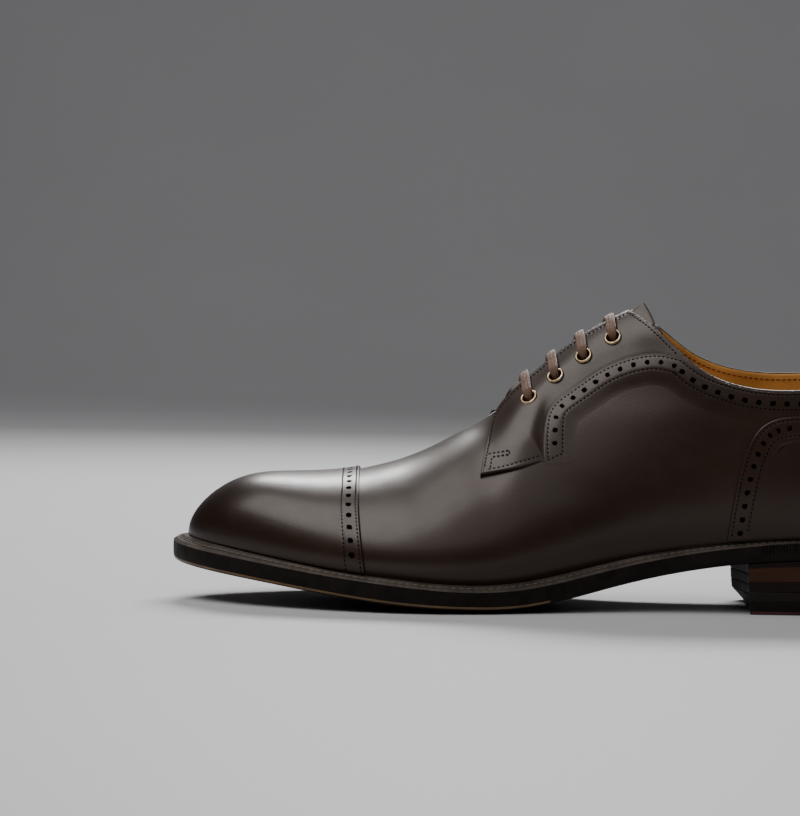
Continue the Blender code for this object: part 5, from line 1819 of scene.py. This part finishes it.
drop = np.concatenate([half_drop, half_drop[-2::-1]])
for lane, tilt in enumerate(WELT_TILT):
    welt_points[:, lane, 2] -= tilt * drop
for lane in range(len(WELT_TILT), len(WELT_TILT) + 5):
    welt_points[:, lane, 2] -= drop * (1 + welt_profile[lane][4] / SEAM)
welt_seam = welt_points[:, 4:6].mean(axis=1)
seam_way = np.concatenate([[0.0], np.cumsum(np.linalg.norm(np.diff(welt_seam, axis=0), axis=-1))])
pressed = 0.16 * np.clip(np.cos(2 * np.pi * seam_way / WELT_STITCH), 0.0, 1.0) ** 2
welt_points[:, 6:10, 2] -= pressed[:, None]
welt_looks = [0] * 10 + [1] * 5
made = sole_piece("stitched_welt", welt_points, [WELT_TOP_LOOK, EDGE_LOOK], welt_looks)
settle(made, "welt_leather", "welt")
seam_up = np.tile([0.0, 0.0, 1.0], (len(welt_seam), 1))
welt_lines = [(welt_seam + 0.12 * seam_up, seam_up, 0.0, 0.0)]

under = -SEAM
outsole_profile = [
    (0.0, 0.0, "edge", "top", under),
    (0.6, 0.0, "edge", "top", under),
    (1.0, 0.0, "edge", "top", under),
    (1.0, 0.0, "edge", "top", under - 0.25),
    (1.0, -0.02, "edge", "top", under - 0.6),
    (1.0, -0.05, "edge", "top", under - 1.4),
    (1.0, -0.02, "edge", "tread", 2.4),
    (1.0, 0.04, "edge", "tread", 1.9),
    (1.0, 0.12, "edge", "tread", 1.35),
    (1.0, 0.45, "edge", "tread", 0.5),
    (1.0, 0.75, "edge", "tread", 0.18),
    (1.0, 1.1, "edge", "tread", 0.0),
] + [(share, 1.1, "edge", "tread", 0.0) for share in (0.95, 0.88, 0.8, 0.7, 0.6, 0.45, 0.25, 0.0)]
outsole_ribs = [0.0, 0.0, 0.3, 0.8, 1.0, 1.0, 0.4] + [0.0] * (len(outsole_profile) - 7)
# Lane look 1 is the painted highlight line low on the edge.
outsole_looks = [0] * 8 + [1] * 1 + [0] * 2 + [2] * (len(outsole_profile) - 12)
outsole_points = sole_ring(outsole_profile, outsole_ribs)
outsole_points[..., 2] = np.maximum(outsole_points[..., 2], 0.0)
made = sole_piece("dressed_outsole", outsole_points, [EDGE_LOOK, EDGE_HIGHLIGHT_LINE, TREAD_LOOK], outsole_looks)
# The painted highlight line is left off the sole's back half.
for face in made.data.polygons:
    if face.material_index == 1 and face.center.x < HIGHLIGHT_LINE_END:
        face.material_index = 0
settle(made, "sole_leather", "outsole")

SOCK = WELT_LEDGE + SOLE_GAP
insole_profile = [
    (0.0, SOCK, "last", "top", INSOLE_RISE),
    (0.5, SOCK, "last", "top", INSOLE_RISE),
    (0.85, SOCK, "last", "top", INSOLE_RISE),
    (1.0, SOCK + 0.5, "last", "top", INSOLE_RISE),
    (1.0, SOCK, "last", "top", INSOLE_RISE - 0.5),
    (1.0, SOCK, "last", "top", -WELT_THICKNESS + 2 * SOLE_GAP),
    (0.0, SOCK, "last", "top", -WELT_THICKNESS + 2 * SOLE_GAP),
]
settle(sole_piece("sock_lining", sole_ring(insole_profile), [LINING], [0] * 6), "lining_leather", "insole")

# %% [markdown]
# ## The stacked heel
# A leather heel is a stack of lifts, pegged, trimmed and stained, on a top piece that meets the floor.
# The outline tapers a little towards the floor, the breast is hollow and the inner corner of the top
# piece is slanted. Each lift is a loft between a few rings with its edges eased, so that fine dark lines
# show between the layers. The upper lift has painted shade next to the sole and painted light in tan
# below it, the second lift is painted shade, and the breast is painted darkest as shade.

# %% The heel
HEEL_BREAST = 73.5
BREAST_HOLLOW = 4.0
BREAST_LEAN = 1.2
HEEL_INSET = 0.8
HEEL_TAPER = 2.2
HEEL_HEIGHT = 21.6
CORNER_HEIGHT = 5.6
CORNER_SLANT = 0.9
CORNER_SHARE = 0.3
HEEL_STEPS = 90
BREAST_STEPS = 40
EASE = 0.22

LAYERS = (1.0, 1.0, 9.0)
# Tan painted light: the band of the upper lift that the light falls on.
LIT_TAN_LIFT = stained_leather(
    "tan_lift_painted_light", (0.062, 0.018, 0.0055), (0.042, 0.0115, 0.0036), 0.4, 90.0, 0.25, LAYERS
)
# Dark brown painted shade, next to the sole on the upper lift and over the second lift.
SHADED_DARK_LIFT = stained_leather(
    "dark_lift_painted_shade", (0.013, 0.0058, 0.0046), (0.007, 0.0032, 0.0026), 0.4, 90.0, 0.2, LAYERS
)
GREY_LIFT = stained_leather(
    "grey_lift", (0.016, 0.0105, 0.0088), (0.0095, 0.006, 0.005), 0.45, 90.0, 0.2, LAYERS
)
RUBBER = stained_leather(
    "top_piece_rubber", (0.0085, 0.0046, 0.0042), (0.0055, 0.003, 0.0028), 0.55, 300.0, 0.15
)
# Near-black painted shade for the breast, which faces away from the light under the waist.
BREAST_SHADE = stained_leather("breast_painted_shade", (0.0055, 0.0028, 0.0025), (0.003, 0.0018, 0.0016), 0.65, 120.0, 0.06)
RED_LINE = stained_leather("red_line", (0.065, 0.012, 0.010), (0.040, 0.008, 0.007), 0.42)


def heel_ring(height):
    """Gives the heel's plan outline at a height: inner side, back, outer side and breast."""
    drop = HEEL_HEIGHT - height
    inset = HEEL_INSET + HEEL_TAPER * drop / HEEL_HEIGHT
    breast = HEEL_BREAST - BREAST_LEAN * drop / HEEL_HEIGHT
    cut = CORNER_SLANT * max(CORNER_HEIGHT - height, 0.0)
    inner_laps = np.linspace(float(lap_at(breast - cut)), 0.0, HEEL_STEPS)
    outer_laps = np.linspace(0.0, float(lap_at(breast)), HEEL_STEPS)[1:]
    inner = np.stack(bottom_edge(MEDIAL, inner_laps, MARGIN[MEDIAL](inner_laps) - inset), axis=-1)
    outer = np.stack(bottom_edge(LATERAL, outer_laps, MARGIN[LATERAL](outer_laps) - inset), axis=-1)
    across = np.linspace(0.0, 1.0, BREAST_STEPS)[1:-1]
    corner = np.clip((across - 1 + CORNER_SHARE) / CORNER_SHARE, 0.0, 1.0)
    station = outer[-1, 0] - BREAST_HOLLOW * np.sin(np.pi * across) - cut * corner
    y = outer[-1, 1] + (inner[0, 1] - outer[-1, 1]) * across
    return np.concatenate([inner, outer, np.stack([station, y], axis=-1), inner[:1]])


def make_lift(name, low, high, looks, bands):
    """Lofts one lift. Bands list the heights where its look changes, from the floor up."""
    middle = np.array([HEEL_BREAST / 2, HEEL_Y])
    top_lift = high == HEEL_HEIGHT
    levels = [low, low + EASE / 2, low + EASE, *bands, high - EASE, high - EASE / 2, high]
    eased = [EASE, 0.3 * EASE, 0.0] + [0.0] * len(bands) + [0.0, 0.3 * EASE, EASE]
    wall = [(1.0, *pair) for pair in zip(levels, eased)]
    rings = [(0.0, low, EASE)] + wall + [(0.5, high, EASE), (0.0, high, EASE)]
    points = []
    for share, height, ease in rings:
        ring = heel_ring(height)
        outward = unit(ring - middle)
        plan = middle + (ring - middle - outward * ease) * share
        tread = sole_height(LATERAL, lap_at(plan[:, 0]), np.ones(len(plan)), "tread") - SOLE_GAP
        level = np.full(len(plan), height)
        if top_lift:
            level = low + (level - low) * (tread - low) / (high - low)
        points.append(np.concatenate([plan, level[:, None]], axis=-1))
    points = np.stack(points, axis=1)
    rows, columns = points.shape[:2]
    heights = np.array([height for _, height, _ in rings])
    lane_looks = np.searchsorted(np.array(bands, dtype=float), (heights[:-1] + heights[1:]) / 2)
    face_looks = np.tile(lane_looks, rows - 1).reshape(rows - 1, columns - 1)
    # The breast faces take the last look, the painted shade of the breast.
    face_looks[1 - BREAST_STEPS :, 1:-2] = len(looks) - 1
    quads = grid_quads(rows, columns)
    return make_piece(name, points.reshape(-1, 3), quads, looks, face_looks.ravel(), sharp=40.0)


made = make_lift("rubber_top_piece", 0.0, 5.0, [RED_LINE, RUBBER, BREAST_SHADE], [1.3])
settle(made, "top_piece_rubber", "heel_top_piece")
settle(make_lift("stacked_lift_3", 5.12, 9.0, [GREY_LIFT, BREAST_SHADE], []), "heel_leather", "heel_lift_3")
# The second lift is painted in shade.
settle(make_lift("stacked_lift_2", 9.12, 13.1, [SHADED_DARK_LIFT, BREAST_SHADE], []), "heel_leather", "heel_lift_2")
# The upper lift: painted light in tan below, painted shade above 19.4 mm next to the sole.
made = make_lift("stacked_lift_1", 13.22, HEEL_HEIGHT, [LIT_TAN_LIFT, SHADED_DARK_LIFT, BREAST_SHADE], [19.4])
settle(made, "heel_leather", "heel_lift_1")

# %% [markdown]
# ## Stitches
# A stitch is a short tight bead of waxed thread that dips into the leather at both ends. All the rows
# noted so far become one joined mesh: a bead of a few rings is copied along each line, turned a little
# off it as a lock stitch lies. Thousands of separate objects would only slow the scene down.

# %% Stitches
STITCH_RINGS = table("along size", (-1.0, 0.1), (-0.72, 0.8), (0.0, 1.0), (0.72, 0.8), (1.0, 0.1))
STITCH_SIDES = 6
STITCH_TWIST = 0.14


def bead_points(line, normal, start, end, pitch, size):
    """Gives the rings of all beads along one line."""
    length, width, thick = size
    ring = np.linspace(0.0, 2 * np.pi, STITCH_SIDES, endpoint=False)
    way = np.concatenate([[0.0], np.cumsum(np.linalg.norm(np.diff(line, axis=0), axis=-1))])
    room = way[-1] - start - end
    count = max(int(round(room / pitch)), 1)
    at = np.interp(start + room / count * (np.arange(count) + 0.5), way, np.arange(len(line)))
    up = unit(pick(normal, at))
    run = unit(pick(np.gradient(line, axis=0), at))
    run = unit(run + unit(np.cross(up, run)) * STITCH_TWIST)
    aside = unit(np.cross(up, run))
    swell = STITCH_RINGS["size"][None, :, None, None]
    dip = 0.22 * (np.abs(STITCH_RINGS["along"]) > 0.9)[None, :, None, None]
    forward = STITCH_RINGS["along"][None, :, None, None] * length / 2
    sideways = np.cos(ring)[None, None, :, None] * width / 2 * swell
    upward = np.sin(ring)[None, None, :, None] * thick / 2 * swell + 0.06 - dip
    run, aside, up = run[:, None, None], aside[:, None, None], up[:, None, None]
    return pick(line, at)[:, None, None] + run * forward + aside * sideways + up * upward


def make_stitches(name, lines, look, pitch, size):
    points = np.concatenate([bead_points(*line, pitch, size) for line in lines])
    rings = len(STITCH_RINGS["along"])
    first = np.arange(len(points))[:, None, None] * rings * STITCH_SIDES
    ring_at = np.arange(rings - 1)[None, :, None] * STITCH_SIDES
    here = np.arange(STITCH_SIDES)[None, None, :]
    corner = first + ring_at + here
    beside = first + ring_at + (here + 1) % STITCH_SIDES
    quads = np.stack([corner, beside, beside + STITCH_SIDES, corner + STITCH_SIDES], axis=-1).reshape(-1, 4)
    loop = np.arange(STITCH_SIDES)
    ends = np.concatenate([first[:, 0] + loop[::-1], first[:, 0] + (rings - 1) * STITCH_SIDES + loop])
    mesh = bpy.data.meshes.new(name)
    mesh.from_pydata(to_frame(points.reshape(-1, 3)).tolist(), [], quads.tolist() + ends.tolist())
    mesh.materials.append(look)
    mesh.shade_smooth()
    piece = bpy.data.objects.new(name, mesh)
    bpy.context.scene.collection.objects.link(piece)
    return piece


lining_lines = []
for lining_side in (LATERAL, MEDIAL):
    rim_lap = np.linspace(lap_at(112.0), 0.0, 400)
    rim_height = last_point(lining_side, rim_lap, rim_rise(lining_side, rim_lap))[..., 2]
    seam_rise = rise_at_height(lining_side, rim_lap, rim_height - 2.6)
    inner = off_last(lining_side, rim_lap, seam_rise, np.full(rim_lap.shape, -WALL - 0.02))
    lining_lines.append((inner, -last_normal(lining_side, rim_lap, seam_rise), 0.0, 0.6))

# The upper's stitches use the near-black thread, which is partly painted shade of the needle holes.
settle(make_stitches("upper_stitches", stitch_lines, THREAD_DARK_AND_HOLE_SHADE, 1.75, (1.15, 0.6, 0.46)), "upper_leather")
settle(make_stitches("lining_stitches", lining_lines, THREAD_RED, 2.3, (1.9, 0.5, 0.44)), "lining_leather")
settle(make_stitches("welt_stitches", welt_lines, THREAD_PALE, WELT_STITCH, (2.5, 0.75, 0.6)), "welt_leather")
